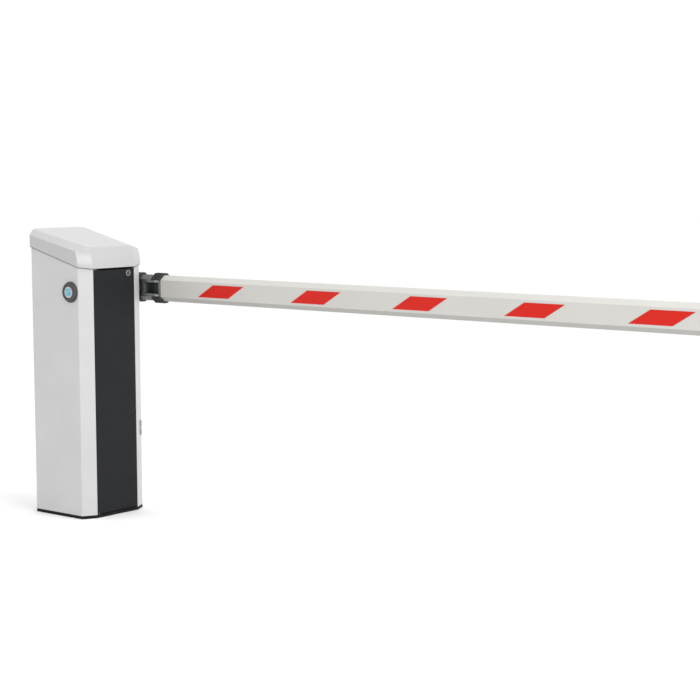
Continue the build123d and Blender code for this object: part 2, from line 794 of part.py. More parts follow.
# ---- balance springs ----
with BuildPart() as balance_sector:
    with BuildSketch(side_plane(-sector_width / 2)):
        with BuildLine():
            sweep_start = strap_grip_angle - sector_lead_angle
            CenterArc((shaft_x, shaft_z), sector_radius, sweep_start, sector_end_angle - sweep_start)
            Line((shaft_x, shaft_z), (shaft_x + sector_radius * cos(radians(sweep_start)),
                                      shaft_z + sector_radius * sin(radians(sweep_start))))
            Line((shaft_x, shaft_z), (shaft_x + sector_radius * cos(radians(sector_end_angle)),
                                      shaft_z + sector_radius * sin(radians(sector_end_angle))))
        make_face()
        with Locations((shaft_x, shaft_z)):
            Circle(shaft_radius + sector_hub_wall)
            Circle(shaft_radius, mode=Mode.SUBTRACT)
    extrude(amount=-sector_width)
    key_blocks(key_spans[1:2], mode=Mode.SUBTRACT)
save(balance_sector, "balance_sector")

with BuildPart() as strap_wrap:
    with BuildSketch(side_plane(-strap_width / 2)):
        with BuildLine():
            CenterArc((shaft_x, shaft_z), sector_radius + strap_thickness / 2, strap_grip_angle,
                      180 - strap_grip_angle)
        trace(line_width=strap_thickness)
    extrude(amount=-strap_width)
save(strap_wrap, "strap_wrap")

crosshead_top = crosshead_z + crosshead_height
with BuildPart() as balance_strap:
    block(spring_x - strap_thickness / 2, spring_x + strap_thickness / 2, -strap_width / 2,
          strap_width / 2, crosshead_top, shaft_z)
save(balance_strap, "balance_strap")

with BuildPart() as spring_crosshead:
    block(spring_x - crosshead_depth / 2, spring_x + crosshead_depth / 2, -guide_spacing / 2 - 8,
          guide_spacing / 2 + 8, crosshead_z, crosshead_top)
    for guide_y in (-guide_spacing / 2, guide_spacing / 2):
        rod_z(spring_x, guide_y, crosshead_z, crosshead_top, guide_radius + running_clearance,
              mode=Mode.SUBTRACT)
save(spring_crosshead, "spring_crosshead")

beam_top = beam_z + beam_thickness
with BuildPart() as balance_springs:
    for spring_y in (-spring_spacing / 2, spring_spacing / 2):
        rod_z(spring_x, spring_y, beam_top + spring_stem, crosshead_z - spring_stem, spring_radius)
        rod_z(spring_x, spring_y, beam_top + spring_stem, crosshead_z - spring_stem,
              spring_radius - spring_wire, mode=Mode.SUBTRACT)
        for stem_bottom in (beam_top, crosshead_z - spring_stem):
            rod_z(spring_x, spring_y, stem_bottom, stem_bottom + spring_stem, spring_stem_radius)
        for disc_bottom in (beam_top + spring_stem, crosshead_z - spring_stem - spring_end_disc):
            rod_z(spring_x, spring_y, disc_bottom, disc_bottom + spring_end_disc, spring_radius)
save(balance_springs, "balance_springs")

post_inner_x = post_x - post_size / 2
with BuildPart() as spring_beam:
    block(spring_x - 14, post_inner_x, -post_y - post_size / 2, post_y + post_size / 2, beam_z,
          beam_top)
    block(post_inner_x - 6, post_inner_x, -post_y - post_size / 2, post_y + post_size / 2,
          beam_z - beam_lip, beam_z)
save(spring_beam, "spring_beam")

with BuildPart() as guide_rods:
    for guide_y in (-guide_spacing / 2, guide_spacing / 2):
        rod_z(spring_x, guide_y, beam_top, crosshead_top + 20, guide_radius)
        rod_z(spring_x, guide_y, beam_top, beam_top + 6, guide_radius * 1.9)
save(guide_rods, "guide_rods")

# ---- travel stops ----
stop_far = stop_near + stop_thickness
stop_middle = stop_near + stop_thickness / 2
with BuildPart() as stop_arm:
    block(shaft_x - stop_reach, shaft_x, stop_near, stop_far, shaft_z - stop_half_width,
          shaft_z + stop_half_width)
    rod_y(shaft_x, stop_near, stop_far, shaft_z, lever_hub_radius)
    rod_y(shaft_x, stop_near, stop_far, shaft_z, shaft_radius, mode=Mode.SUBTRACT)
    key_blocks(key_spans[2:3], mode=Mode.SUBTRACT)
save(stop_arm, "stop_arm")

buffer_face = stop_half_width + buffer_gap
buffer_end = buffer_face + buffer_length
with BuildPart() as stop_buffers:
    rod_z(shaft_x - buffer_reach, stop_middle, shaft_z + buffer_face, shaft_z + buffer_end,
          buffer_radius)
    rod_x(shaft_x + buffer_face, shaft_x + buffer_end, stop_middle, shaft_z - buffer_reach,
          buffer_radius)
save(stop_buffers, "stop_buffers")

half_block = stop_block_size / 2
with BuildPart() as stop_blocks:
    block(shaft_x - buffer_reach - half_block, shaft_x - buffer_reach + half_block, -plate_inner,
          stop_far, shaft_z + buffer_end, shaft_z + buffer_end + stop_block_size)
    block(shaft_x + buffer_end, plate_front, -plate_inner, stop_far,
          shaft_z - buffer_reach - half_block, shaft_z - buffer_reach + half_block)
save(stop_blocks, "stop_blocks")


# ---- boom flange, boom and what is on them ----
def boom_section(outset=0.0):
    """The boom's eight-sided section in the plane across X, moved out by outset."""
    half_y = boom_thickness / 2
    half_z = boom_height / 2
    flat_y = half_y - boom_bevel_y
    flat_z = half_z - boom_bevel_z
    with BuildSketch() as section:
        with BuildLine():
            Polyline((half_y, -flat_z), (half_y, flat_z), (flat_y, half_z), (-flat_y, half_z),
                     (-half_y, flat_z), (-half_y, -flat_z), (-flat_y, -half_z), (flat_y, -half_z),
                     close=True)
        make_face()
        if outset:
            offset(amount=outset, kind=Kind.INTERSECTION)
    return section.sketch


def boom_plane(x):
    """The plane across the boom at X, centred on its section."""
    return Plane(origin=(x, boom_middle, shaft_z), x_dir=(0, 1, 0), z_dir=(1, 0, 0))


with BuildPart() as boom_flange:
    with BuildSketch(boom_plane(flange_start)):
        add(boom_section())
    extrude(amount=boom_start - flange_start)
    block(flange_start - 1, frame_start, boom_near - 1, boom_near + flange_recess,
          shaft_z - frame_half, shaft_z + frame_half, mode=Mode.SUBTRACT)
    rod_y(shaft_x, hub_near, boom_near + flange_recess, shaft_z, hub_radius)
    with BuildSketch(boom_plane(boom_start)):
        add(boom_section(-boom_wall - spigot_clearance))
        add(boom_section(-boom_wall - spigot_clearance - spigot_wall), mode=Mode.SUBTRACT)
    extrude(amount=spigot_length)
    block(pocket_start, pocket_end, boom_near - 1, boom_near + pocket_depth,
          shaft_z - pocket_height / 2, shaft_z + pocket_height / 2, mode=Mode.SUBTRACT)
    block(pocket_start, pocket_start + web_thickness, boom_near + pocket_depth - web_height,
          boom_near + pocket_depth, shaft_z - pocket_height / 2, shaft_z + pocket_height / 2)
    rod_y(shaft_x, hub_near, boom_far, shaft_z, shaft_radius, mode=Mode.SUBTRACT)
    key_blocks(key_spans[3:], mode=Mode.SUBTRACT)
save(boom_flange, "boom_flange")


def clamp_band(x0, x1, thickness, split):
    """An upper and a lower strip bent round the boom's section, with their ends split apart."""
    with BuildSketch(boom_plane(x0)) as band:
        add(boom_section(thickness))
        add(boom_section(), mode=Mode.SUBTRACT)
        Rectangle(boom_thickness + 4 * thickness, split, mode=Mode.SUBTRACT)
    extrude(band.sketch, amount=x1 - x0)


with BuildPart() as flange_clamps:
    clamp_band(clamp_start, boom_start, clamp_sheet, clamp_split)
    rib_pitch = (boom_start - clamp_start - clamp_rib) / (rib_count - 1)
    for rib in range(rib_count):
        rib_x = clamp_start + rib * rib_pitch
        clamp_band(rib_x, rib_x + clamp_rib, clamp_sheet + clamp_rib, clamp_split)
    clamp_band(band_start, band_end, band_sheet, band_split)
save(flange_clamps, "flange_clamps")

with BuildPart() as clamp_bolts:
    for end in (-1, 1):
        for seat_y, reach in ((boom_near, -bolt_head_depth), (boom_far, bolt_head_depth)):
            depths_y = sorted((seat_y, seat_y + reach))
            heights_z = sorted((shaft_z + end * (frame_half - bolt_head_height - bolt_margin),
                                shaft_z + end * (frame_half - bolt_margin)))
            block(boom_start - bolt_setback - bolt_head_length, boom_start - bolt_setback, *depths_y,
                  *heights_z)
save(clamp_bolts, "clamp_bolts")

with BuildPart() as flange_screw:
    rod_y(shaft_x, boom_far, boom_far + 3, shaft_z, washer_radius)
    rod_y(shaft_x, boom_far - screw_length, boom_far, shaft_z, screw_radius)
    with BuildSketch(side_plane(boom_far + 3)):
        with Locations((shaft_x, shaft_z)):
            RegularPolygon(10.5, 6)
    extrude(amount=-7.5)
save(flange_screw, "flange_screw")

with BuildPart() as boom:
    with BuildSketch(boom_plane(boom_start)):
        add(boom_section())
        add(boom_section(-boom_wall), mode=Mode.SUBTRACT)
    extrude(amount=boom_end - boom_start)
save(boom, "boom")

with BuildPart() as boom_end_cap:
    with BuildSketch(boom_plane(boom_end)):
        add(boom_section())
    extrude(amount=end_cap_length)
    fillet(boom_end_cap.edges().group_by(Axis.X)[-1], 4)
    with BuildSketch(boom_plane(boom_end - end_cap_plug)):
        add(boom_section(-boom_wall - spigot_clearance))
    extrude(amount=end_cap_plug)
save(boom_end_cap, "boom_end_cap")

marker_count = int((boom_end - marker_first - marker_length) / marker_pitch) + 1
marker_faces = (boom_near - marker_thickness, boom_far)
with BuildPart() as boom_markers:
    for marker_face in marker_faces:
        for index in range(marker_count):
            middle_x = marker_first + marker_length / 2 + index * marker_pitch
            with BuildSketch(side_plane(marker_face)):
                with BuildLine():
                    Polyline(
                        (middle_x - (marker_length + marker_lean) / 2, shaft_z - marker_height / 2),
                        (middle_x + (marker_length - marker_lean) / 2, shaft_z - marker_height / 2),
                        (middle_x + (marker_length + marker_lean) / 2, shaft_z + marker_height / 2),
                        (middle_x - (marker_length - marker_lean) / 2, shaft_z + marker_height / 2),
                        close=True,
                    )
                make_face()
            extrude(amount=-marker_thickness)
save(boom_markers, "boom_markers")

# ---- blanking cap ----
with BuildPart() as cap_ring:
    rod_y(shaft_x, -side - cap_foot, -side, shaft_z, cap_foot_radius)
    rod_y(shaft_x, -side - cap_projection, -side, shaft_z, cap_radius)
    fillet(cap_ring.edges().filter_by(GeomType.CIRCLE).group_by(Axis.Y)[0], 2.5)
    rod_y(shaft_x, -side, sheet + 6 - side, shaft_z, cap_opening_radius)
    rod_y(shaft_x, -side - cap_projection - 1, cap_disc_depth - side - cap_projection, shaft_z,
          cap_disc_radius, mode=Mode.SUBTRACT)
save(cap_ring, "cap_ring")

with BuildPart() as cap_disc:
    rod_y(shaft_x, -side - cap_projection - 0.5, cap_disc_depth - side - cap_projection, shaft_z,
          cap_disc_radius)
    fillet(cap_disc.edges().filter_by(GeomType.CIRCLE).group_by(Axis.Y)[0], 1.0)
save(cap_disc, "cap_disc")

# ---- control equipment ----
mount_x = -post_x + post_size / 2
mount_front = mount_x + mount_sheet
mount_half = post_y + post_size / 2
with BuildPart() as mounting_plate:
    block(mount_x, mount_front, -mount_half, mount_half, mount_bottom, mount_top)
save(mounting_plate, "mounting_plate")

rail_front = mount_front + rail_depth
with BuildPart() as din_rails:
    for rail_z in rail_heights:
        block(mount_front, rail_front, -rail_half_length, rail_half_length,
              rail_z - rail_height / 2, rail_z + rail_height / 2)
        block(mount_front + 1.5, rail_front + 1, -rail_half_length - 1, rail_half_length + 1,
              rail_z - rail_height / 2 + 5, rail_z + rail_height / 2 - 5, mode=Mode.SUBTRACT)
save(din_rails, "din_rails")


def rail_unit(near, far, rail_z, height, depth, radius=2.0):
    """A box-shaped unit clipped on the front of a rail."""
    with BuildPart() as unit:
        block(rail_front, rail_front + depth, near, far, rail_z - height / 2, rail_z + height / 2)
        fillet(unit.edges().group_by(Axis.X)[-1], radius)
    return unit


lower_rail, upper_rail = rail_heights
controller = rail_unit(-85, 20, upper_rail, 90, 55, 4.0)
save(controller, "controller")
loop_detector = rail_unit(25, 61, upper_rail, 80, 60)
save(loop_detector, "loop_detector")
power_supply = rail_unit(-85, -20, lower_rail, 95, 75)
save(power_supply, "power_supply")
circuit_breaker = rail_unit(-14, 22, lower_rail, 84, 48)
save(circuit_breaker, "circuit_breaker")

with BuildPart() as terminal_block:
    for index in range(terminal_count):
        near = terminal_start + index * terminal_pitch
        block(rail_front, rail_front + terminal_depth, near, near + terminal_width,
              lower_rail - terminal_height / 2, lower_rail + terminal_height / 2)
save(terminal_block, "terminal_block")
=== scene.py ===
"""Parking barrier gate: the finish of its cabinet, hood, door, boom and drive, and its stage.

Every operator dresses one piece, or one group of like pieces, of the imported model: it rounds their
edges, adds the detail that the plain solids lack and gives them their material. All sizes are in
metres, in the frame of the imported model.
"""

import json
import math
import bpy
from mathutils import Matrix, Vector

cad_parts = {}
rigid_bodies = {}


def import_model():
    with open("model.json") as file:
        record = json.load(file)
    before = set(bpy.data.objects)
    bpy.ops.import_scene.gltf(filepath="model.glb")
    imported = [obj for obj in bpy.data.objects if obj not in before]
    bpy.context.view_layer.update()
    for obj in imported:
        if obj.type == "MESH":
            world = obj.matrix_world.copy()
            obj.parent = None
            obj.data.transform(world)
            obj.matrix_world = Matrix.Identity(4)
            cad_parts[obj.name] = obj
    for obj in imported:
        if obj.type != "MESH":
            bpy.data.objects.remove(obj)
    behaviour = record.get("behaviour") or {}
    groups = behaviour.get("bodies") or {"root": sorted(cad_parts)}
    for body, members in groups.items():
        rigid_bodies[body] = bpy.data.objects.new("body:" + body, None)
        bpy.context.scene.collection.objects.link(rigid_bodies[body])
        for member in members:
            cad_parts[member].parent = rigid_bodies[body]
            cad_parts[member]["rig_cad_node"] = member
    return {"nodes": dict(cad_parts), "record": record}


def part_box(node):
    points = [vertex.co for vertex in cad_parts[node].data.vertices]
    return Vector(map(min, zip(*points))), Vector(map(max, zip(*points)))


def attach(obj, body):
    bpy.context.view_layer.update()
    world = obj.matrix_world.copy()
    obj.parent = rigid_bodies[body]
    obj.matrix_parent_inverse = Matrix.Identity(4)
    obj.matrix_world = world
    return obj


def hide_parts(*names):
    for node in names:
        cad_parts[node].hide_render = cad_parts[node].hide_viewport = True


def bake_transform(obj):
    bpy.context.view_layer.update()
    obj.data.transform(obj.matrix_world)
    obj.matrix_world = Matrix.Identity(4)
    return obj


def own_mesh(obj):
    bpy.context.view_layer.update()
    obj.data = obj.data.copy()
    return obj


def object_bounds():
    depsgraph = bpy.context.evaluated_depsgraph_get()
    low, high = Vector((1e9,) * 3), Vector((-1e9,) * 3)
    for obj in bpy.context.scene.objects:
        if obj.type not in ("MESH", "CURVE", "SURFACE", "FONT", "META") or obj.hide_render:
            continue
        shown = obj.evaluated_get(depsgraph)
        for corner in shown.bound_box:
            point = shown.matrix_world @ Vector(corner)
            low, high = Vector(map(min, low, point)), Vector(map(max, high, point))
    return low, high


bl_info = {
    "name": "Parking Barrier Gate",
    "version": (1, 0, 0),
    "blender": (4, 5, 0),
    "location": "3D View > Sidebar > Barrier",
    "description": "Finishes the pieces of a parking barrier gate",
    "category": "Object",
}

import bmesh
import bpy
from bpy.props import FloatProperty, FloatVectorProperty, IntProperty, PointerProperty
from mathutils import Matrix, Vector

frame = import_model()
CAD_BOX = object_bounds()

RECORD = frame["record"]
BODY_OF = {node: body for body, nodes in RECORD["behaviour"]["bodies"].items() for node in nodes}

# How far an added part reaches into the piece that carries it.
SUNK = 0.001

WELD_DISTANCE = 1e-6
FLAT_ANGLE = math.radians(0.5)
EDGE_ANGLE = math.radians(28)
SHARP_ANGLE = math.radians(38)
CROWN_ANGLE = math.radians(9)

# A face whose normal has a lower Z than this is an underside.
FACING_DOWN = -0.5

# How far the marks of grinding or rolling are drawn out along each axis.
ALONG_SHAFT = (1, 0.05, 1)
ALONG_ROD = (1, 1, 0.05)
ALONG_POST = (1, 1, 0.08)

X_AXIS = Vector((1, 0, 0))
Y_AXIS = Vector((0, 1, 0))
Z_AXIS = Vector((0, 0, 1))


# ---------------------------------------------------------------- settings


def colour_setting(name, default, description):
    """A colour that the user can change."""
    return FloatVectorProperty(
        name=name,
        description=description,
        default=default,
        subtype="COLOR",
        size=3,
        min=0.0,
        max=1.0,
    )


def length_setting(name, default, description):
    """A length in metres that the user can change."""
    return FloatProperty(
        name=name,
        description=description,
        default=default,
        min=0.0,
        precision=5,
        unit="LENGTH",
        subtype="DISTANCE",
    )


def angle_setting(name, degrees, description):
    """An angle that the user can change, given here in degrees."""
    return FloatProperty(
        name=name,
        description=description,
        default=math.radians(degrees),
        subtype="ANGLE",
        unit="ROTATION",
    )


def power_setting(name, watts, description):
    """The power of a light, which the user can change."""
    return FloatProperty(
        name=name, description=description, default=watts, min=0.0, unit="POWER"
    )


class BarrierSizes(bpy.types.PropertyGroup):
    """Sizes of the finish: how far edges are rounded, and the details that are built here."""

    sheet_edge: length_setting("Sheet edge", 0.0005, "Rounding of the painted sheet's edges")
    hood_edge: length_setting("Hood edge", 0.0030, "Rounding between the hood's faces")
    hood_rim: length_setting("Hood rim", 0.0008, "Rounding along the hood's lower rim")
    door_edge: length_setting("Door edge", 0.0010, "Rounding of the front door's edges")
    boom_edge: length_setting("Boom edge", 0.0018, "Rounding of the boom's long edges")
    casting_edge: length_setting("Casting edge", 0.0008, "Rounding of the cast pieces' edges")
    machined_edge: length_setting("Machined edge", 0.0004, "Rounding of cut and turned steel")
    film_edge: length_setting("Film edge", 0.0001, "Rounding of the marker film's edges")
    prism_pitch: length_setting("Prism pitch", 0.0105, "Size of a cell in the reflective film")
    spring_wire: length_setting("Spring wire", 0.0036, "Diameter of the balance springs' wire")
    spring_turns: IntProperty(
        name="Spring turns",
        description="Turns in each balance spring",
        default=33,
        min=4,
        max=80,
    )
    round_steps: IntProperty(
        name="Round steps",
        description="Facets round a turned piece",
        default=72,
        min=12,
        max=256,
    )


class BarrierColours(bpy.types.PropertyGroup):
    """Colours of the painted, moulded and printed surfaces."""

    cabinet: colour_setting("Cabinet", (0.488, 0.488, 0.488), "Powder coat of the cabinet")
    hood: colour_setting("Hood", (0.415, 0.416, 0.418), "Paint of the hood")
    door: colour_setting("Door", (0.0100, 0.0108, 0.0122), "Powder coat of the front door")
    base: colour_setting("Base", (0.006, 0.006, 0.0065), "Paint of the base plate")
    boom: colour_setting("Boom", (0.505, 0.496, 0.468), "Powder coat of the boom")
    marker: colour_setting("Markers", (0.72, 0.013, 0.004), "Reflective film on the boom")
    casting: colour_setting("Castings", (0.098, 0.105, 0.096), "Paint of flange and gearbox")
    jaw: colour_setting("Jaws", (0.030, 0.029, 0.029), "Paint of the flange's clamping jaws")
    moulding: colour_setting("Mouldings", (0.040, 0.040, 0.042), "Dark moulded plastic")
    light_moulding: colour_setting("Light mouldings", (0.55, 0.55, 0.52), "Light moulded plastic")
    rubber: colour_setting("Rubber", (0.018, 0.018, 0.019), "Seals and buffers")
    motor: colour_setting("Motor", (0.10, 0.13, 0.16), "Enamel of the motor")
    disc: colour_setting("Cap disc", (0.40, 0.385, 0.40), "Face of the blanking cap")
    symbol: colour_setting("Symbol", (0.010, 0.36, 0.50), "Printed symbol on the blanking cap")
    lock: colour_setting("Lock plate", (0.24, 0.235, 0.235), "Escutcheon of the door lock")


class BarrierStage(bpy.types.PropertyGroup):
    """The camera, the floor and the lights."""

    camera_place: FloatVectorProperty(
        name="Camera place",
        description="Where the camera stands",
        default=(4.183, -3.803, 1.105),
        subtype="TRANSLATION",
        unit="LENGTH",
        size=3,
    )
    camera_turn: angle_setting("Camera turn", 39.098, "Angle of the view from +Y towards -X")
    camera_dip: angle_setting("Camera dip", 6.0, "Angle of the view below the horizon")
    camera_roll: angle_setting("Camera roll", -0.184, "Tilt of the picture")
    camera_lens: FloatProperty(
        name="Lens",
        description="Focal length on a 36 mm sensor, in millimetres",
        default=89.6,
        min=10.0,
    )
    floor_size: length_setting("Floor size", 60.0, "Width of the floor")
    floor_colour: colour_setting("Floor", (0.90, 0.90, 0.90), "Pale floor")
    sky_strength: FloatProperty(
        name="Sky strength",
        description="Brightness of the light from all round",
        default=1.12,
        min=0.0,
    )
    key_power: power_setting("Key power", 82.0, "Power of the large front light")
    top_power: power_setting("Top power", 24.0, "Power of the light overhead")


# ---------------------------------------------------------------- materials


def start_material(name, roughness, metallic=0.0, fixed=None):
    """A new material, with the shader values that are the same all over."""
    material = bpy.data.materials.new(name)
    material.use_nodes = True
    shader = material.node_tree.nodes["Principled BSDF"]
    values = {"Roughness": roughness, "Metallic": metallic, **(fixed or {})}
    for socket, value in values.items():
        shader.inputs[socket].default_value = value
    return material


def add_node(material, kind, inputs=None, **settings):
    """A node with its settings and input values; an input may be another node's output."""
    tree = material.node_tree
    node = tree.nodes.new(kind)
    for key, value in settings.items():
        setattr(node, key, value)
    for socket, value in (inputs or {}).items():
        if isinstance(value, bpy.types.NodeSocket):
            tree.links.new(value, node.inputs[socket])
        else:
            node.inputs[socket].default_value = value
    return node


def feed(material, socket, output):
    """Link an output to one of the shader's inputs."""
    shader = material.node_tree.nodes["Principled BSDF"]
    material.node_tree.links.new(output, shader.inputs[socket])


def calculate(material, operation, first, second=None):
    """The result of a sum on one or two values."""
    inputs = {0: first} if second is None else {0: first, 1: second}
    return add_node(material, "ShaderNodeMath", inputs, operation=operation).outputs[0]


def darken(material, colour, factor):
    """A colour times a factor."""
    inputs = {0: colour, 1: factor}
    node = add_node(material, "ShaderNodeVectorMath", inputs, operation="MULTIPLY")
    return node.outputs["Vector"]


def place_on_surface(material, stretch=(1.0, 1.0, 1.0)):
    """The point on the object, in metres, stretched along its axes."""
    here = add_node(material, "ShaderNodeTexCoord").outputs["Object"]
    mapping = add_node(material, "ShaderNodeMapping", {"Vector": here, "Scale": stretch})
    return mapping.outputs["Vector"]


def grain(material, place, scale, detail=3.0, roughness=0.55):
    """Noise of a given fineness, in features per metre."""
    inputs = {"Vector": place, "Scale": scale, "Detail": detail, "Roughness": roughness}
    return add_node(material, "ShaderNodeTexNoise", inputs).outputs["Fac"]


def ramp(material, factor, stops):
    """Colours along a factor; each stop is (position, colour)."""
    node = add_node(material, "ShaderNodeValToRGB", {"Fac": factor})
    elements = node.color_ramp.elements
    while len(elements) < len(stops):
        elements.new(0.5)
    for element, (position, colour) in zip(elements, stops):
        element.position = position
        element.color = (*colour, 1.0)
    return node.outputs["Color"]


def spread(material, factor, low, high, start=0.3, end=0.7):
    """A factor mapped to a range of values."""
    inputs = {"Value": factor, "From Min": start, "From Max": end, "To Min": low, "To Max": high}
    return add_node(material, "ShaderNodeMapRange", inputs).outputs["Result"]


def bump(material, height, strength, depth, below=None):
    """A bump from a height, on top of another one if it is given."""
    inputs = {"Height": height, "Strength": strength, "Distance": depth}
    if below is not None:
        inputs["Normal"] = below
    return add_node(material, "ShaderNodeBump", inputs).outputs["Normal"]


def shade(colour, factor):
    """A colour made lighter or darker."""
    return tuple(min(1.0, channel * factor) for channel in colour)


def tones(colour, low, high, start=0.30, end=0.70):
    """Two stops for a ramp: a darker and a lighter shade of one colour."""
    return [(start, shade(colour, low)), (end, shade(colour, high))]


def powder_coat(name, colour, roughness=0.42, peel=0.10, mottle=0.03, coat=0.0, film=1.0):
    """Powder coat: orange peel with a fine grain on top, and painted shade on the undersides."""
    fixed = {"Specular IOR Level": 0.45, "Coat Weight": coat, "Coat Roughness": 0.14}
    material = start_material(name, roughness, fixed=fixed)
    here = place_on_surface(material)
    cloud = grain(material, here, 7.0, 4.0)
    paint = ramp(material, cloud, tones(colour, 1 - mottle, 1 + mottle))
    # Painted shade: faces that point down are darkened, to the factor film on a face that points
    # straight down; a film of 1 paints none.
    if film < 1:
        facing = add_node(material, "ShaderNodeTexCoord").outputs["Normal"]
        upright = add_node(material, "ShaderNodeSeparateXYZ", {"Vector": facing}).outputs["Z"]
        paint = darken(material, paint, spread(material, upright, film, 1.0, -0.7, -0.2))
    feed(material, "Base Color", paint)
    rub = grain(material, here, 38.0, 5.0)
    feed(material, "Roughness", spread(material, rub, roughness - 0.05, roughness + 0.06))
    waves = bump(material, grain(material, here, 420.0, 2.0), peel, 0.0002)
    fine = grain(material, here, 2600.0, 1.0)
    feed(material, "Normal", bump(material, fine, peel * 0.6, 0.00005, waves))
    return material


def textured_coat(name, colour, roughness=0.5):
    """Dark satin powder coat with a fine leathery texture."""
    material = start_material(name, roughness, fixed={"Specular IOR Level": 0.16})
    here = place_on_surface(material)
    cells = add_node(material, "ShaderNodeTexVoronoi", {"Vector": here, "Scale": 1100.0})
    cloud = grain(material, here, 9.0, 5.0)
    feed(material, "Base Color", ramp(material, cloud, tones(colour, 0.90, 1.12, end=0.72)))
    rub = grain(material, here, 60.0, 4.0)
    feed(material, "Roughness", spread(material, rub, roughness - 0.06, roughness + 0.08))
    pits = bump(material, cells.outputs["Distance"], 0.16, 0.0002)
    waves = grain(material, here, 300.0, 2.0)
    feed(material, "Normal", bump(material, waves, 0.06, 0.0003, pits))
    return material


def cast_paint(name, colour, roughness=0.46):
    """Paint over a casting: sand roughness, edges rubbed lighter and painted shade in the hollows.
    """
    material = start_material(name, roughness, fixed={"Specular IOR Level": 0.35})
    here = place_on_surface(material)
    lumps = grain(material, here, 55.0, 6.0, 0.6)
    worn = add_node(material, "ShaderNodeNewGeometry").outputs["Pointiness"]
    edge = spread(material, worn, 0.0, 1.0, 0.52, 0.60)
    base = calculate(material, "ADD", lumps, calculate(material, "MULTIPLY", edge, lumps))
    stops = tones(colour, 0.93, 1.04, end=0.60) + [(1.0, shade(colour, 1.7))]
    paint = ramp(material, base, stops)
    # Painted shade: the colour is darkened where ambient occlusion finds hollows and creases.
    hollow = add_node(material, "ShaderNodeAmbientOcclusion", {"Distance": 0.030}, samples=8)
    recess_shade = spread(material, hollow.outputs["AO"], 0.16, 1.0, 0.30, 0.90)
    feed(material, "Base Color", darken(material, paint, recess_shade))
    feed(material, "Roughness", spread(material, lumps, roughness - 0.08, roughness + 0.12))
    sand = bump(material, grain(material, here, 900.0, 3.0, 0.7), 0.22, 0.0002)
    feed(material, "Normal", bump(material, lumps, 0.10, 0.0010, sand))
    return material


def plated_steel(name, colour, roughness=0.34, stretch=(1.0, 1.0, 1.0)):
    """Zinc plated or black steel: cloudy plating over the marks of rolling."""
    material = start_material(name, roughness, metallic=1.0)
    here = place_on_surface(material)
    along = place_on_surface(material, stretch)
    cloud = grain(material, here, 26.0, 5.0, 0.6)
    cool = (colour[0] * 0.86, colour[1] * 0.90, colour[2] * 0.98)
    warm = (colour[0] * 1.06, colour[1] * 1.04, colour[2] * 0.96)
    feed(material, "Base Color", ramp(material, cloud, [(0.30, cool), (0.70, warm)]))
    marks = grain(material, along, 240.0, 4.0, 0.6)
    feed(material, "Roughness", spread(material, marks, roughness - 0.10, roughness + 0.14))
    feed(material, "Normal", bump(material, marks, 0.12, 0.0001))
    return material


def ground_steel(name, colour, stretch, roughness=0.22):
    """Turned or ground steel: fine marks along one direction."""
    material = start_material(name, roughness, metallic=1.0)
    along = place_on_surface(material, stretch)
    marks = grain(material, along, 300.0, 6.0, 0.7)
    feed(material, "Base Color", ramp(material, marks, tones(colour, 0.88, 1.06)))
    feed(material, "Roughness", spread(material, marks, roughness - 0.08, roughness + 0.12))
    feed(material, "Normal", bump(material, marks, 0.18, 0.00005))
    return material


def moulded_plastic(name, colour, roughness=0.48, stipple=0.14, coat=0.0):
    """Moulded plastic: an eroded stipple and slight flow marks."""
    fixed = {"Specular IOR Level": 0.45, "Coat Weight": coat, "Coat Roughness": 0.12}
    material = start_material(name, roughness, fixed=fixed)
    here = place_on_surface(material)
    flow = grain(material, here, 30.0, 3.0)
    feed(material, "Base Color", ramp(material, flow, tones(colour, 0.93, 1.07, 0.32)))
    feed(material, "Roughness", spread(material, flow, roughness - 0.05, roughness + 0.07))
    dots = add_node(material, "ShaderNodeTexVoronoi", {"Vector": here, "Scale": 1700.0})
    feed(material, "Normal", bump(material, dots.outputs["Distance"], stipple, 0.0001))
    return material


def black_rubber(name, colour):
    """Rubber: matt, with a dusty bloom in patches."""
    material = start_material(name, 0.82, fixed={"Specular IOR Level": 0.25})
    here = place_on_surface(material)
    bloom = grain(material, here, 70.0, 6.0, 0.65)
    feed(material, "Base Color", ramp(material, bloom, tones(colour, 1.0, 1.7, 0.35, 0.75)))
    feed(material, "Roughness", spread(material, bloom, 0.74, 0.90))
    skin = grain(material, here, 1500.0, 2.0)
    feed(material, "Normal", bump(material, skin, 0.15, 0.0001))
    return material


def lattice_lines(material, place, pitch):
    """Distance to the nearest line of a diamond lattice, 0 on a line and 0.5 mid-cell."""
    gaps = []
    for slope in (1.6, -1.6):
        inputs = {0: place, 1: (1 / pitch, 0.0, slope / pitch)}
        dot = add_node(material, "ShaderNodeVectorMath", inputs, operation="DOT_PRODUCT")
        part = calculate(material, "FRACT", dot.outputs["Value"])
        off_centre = calculate(material, "ABSOLUTE", calculate(material, "SUBTRACT", part, 0.5))
        gaps.append(calculate(material, "SUBTRACT", 0.5, off_centre))
    return calculate(material, "MINIMUM", *gaps)


def reflective_film(name, colour):
    """Retro-reflective film: bright cells under a clear skin, between darker sealed lines."""
    fixed = {"Specular IOR Level": 0.20, "Coat Weight": 0.08, "Coat Roughness": 0.18}
    material = start_material(name, 0.40, fixed=fixed)
    here = place_on_surface(material)
    gap = lattice_lines(material, here, bpy.context.scene.barrier_sizes.prism_pitch)
    line = spread(material, gap, 0.0, 1.0, 0.08, 0.30)
    feed(material, "Base Color", ramp(material, line, tones(colour, 0.40, 1.25, 0.0, 1.0)))
    sparkle = grain(material, here, 1400.0, 2.0, 0.8)
    feed(material, "Roughness", spread(material, sparkle, 0.30, 0.50))
    feed(material, "Normal", bump(material, line, 0.35, 0.0002))
    return material


def coated_floor(name, colour):
    """A plain pale floor with a trace of unevenness."""
    material = start_material(name, 0.75, fixed={"Specular IOR Level": 0.2})
    cloud = grain(material, place_on_surface(material), 3.0, 4.0)
    feed(material, "Base Color", ramp(material, cloud, tones(colour, 0.99, 1.01)))
    return material


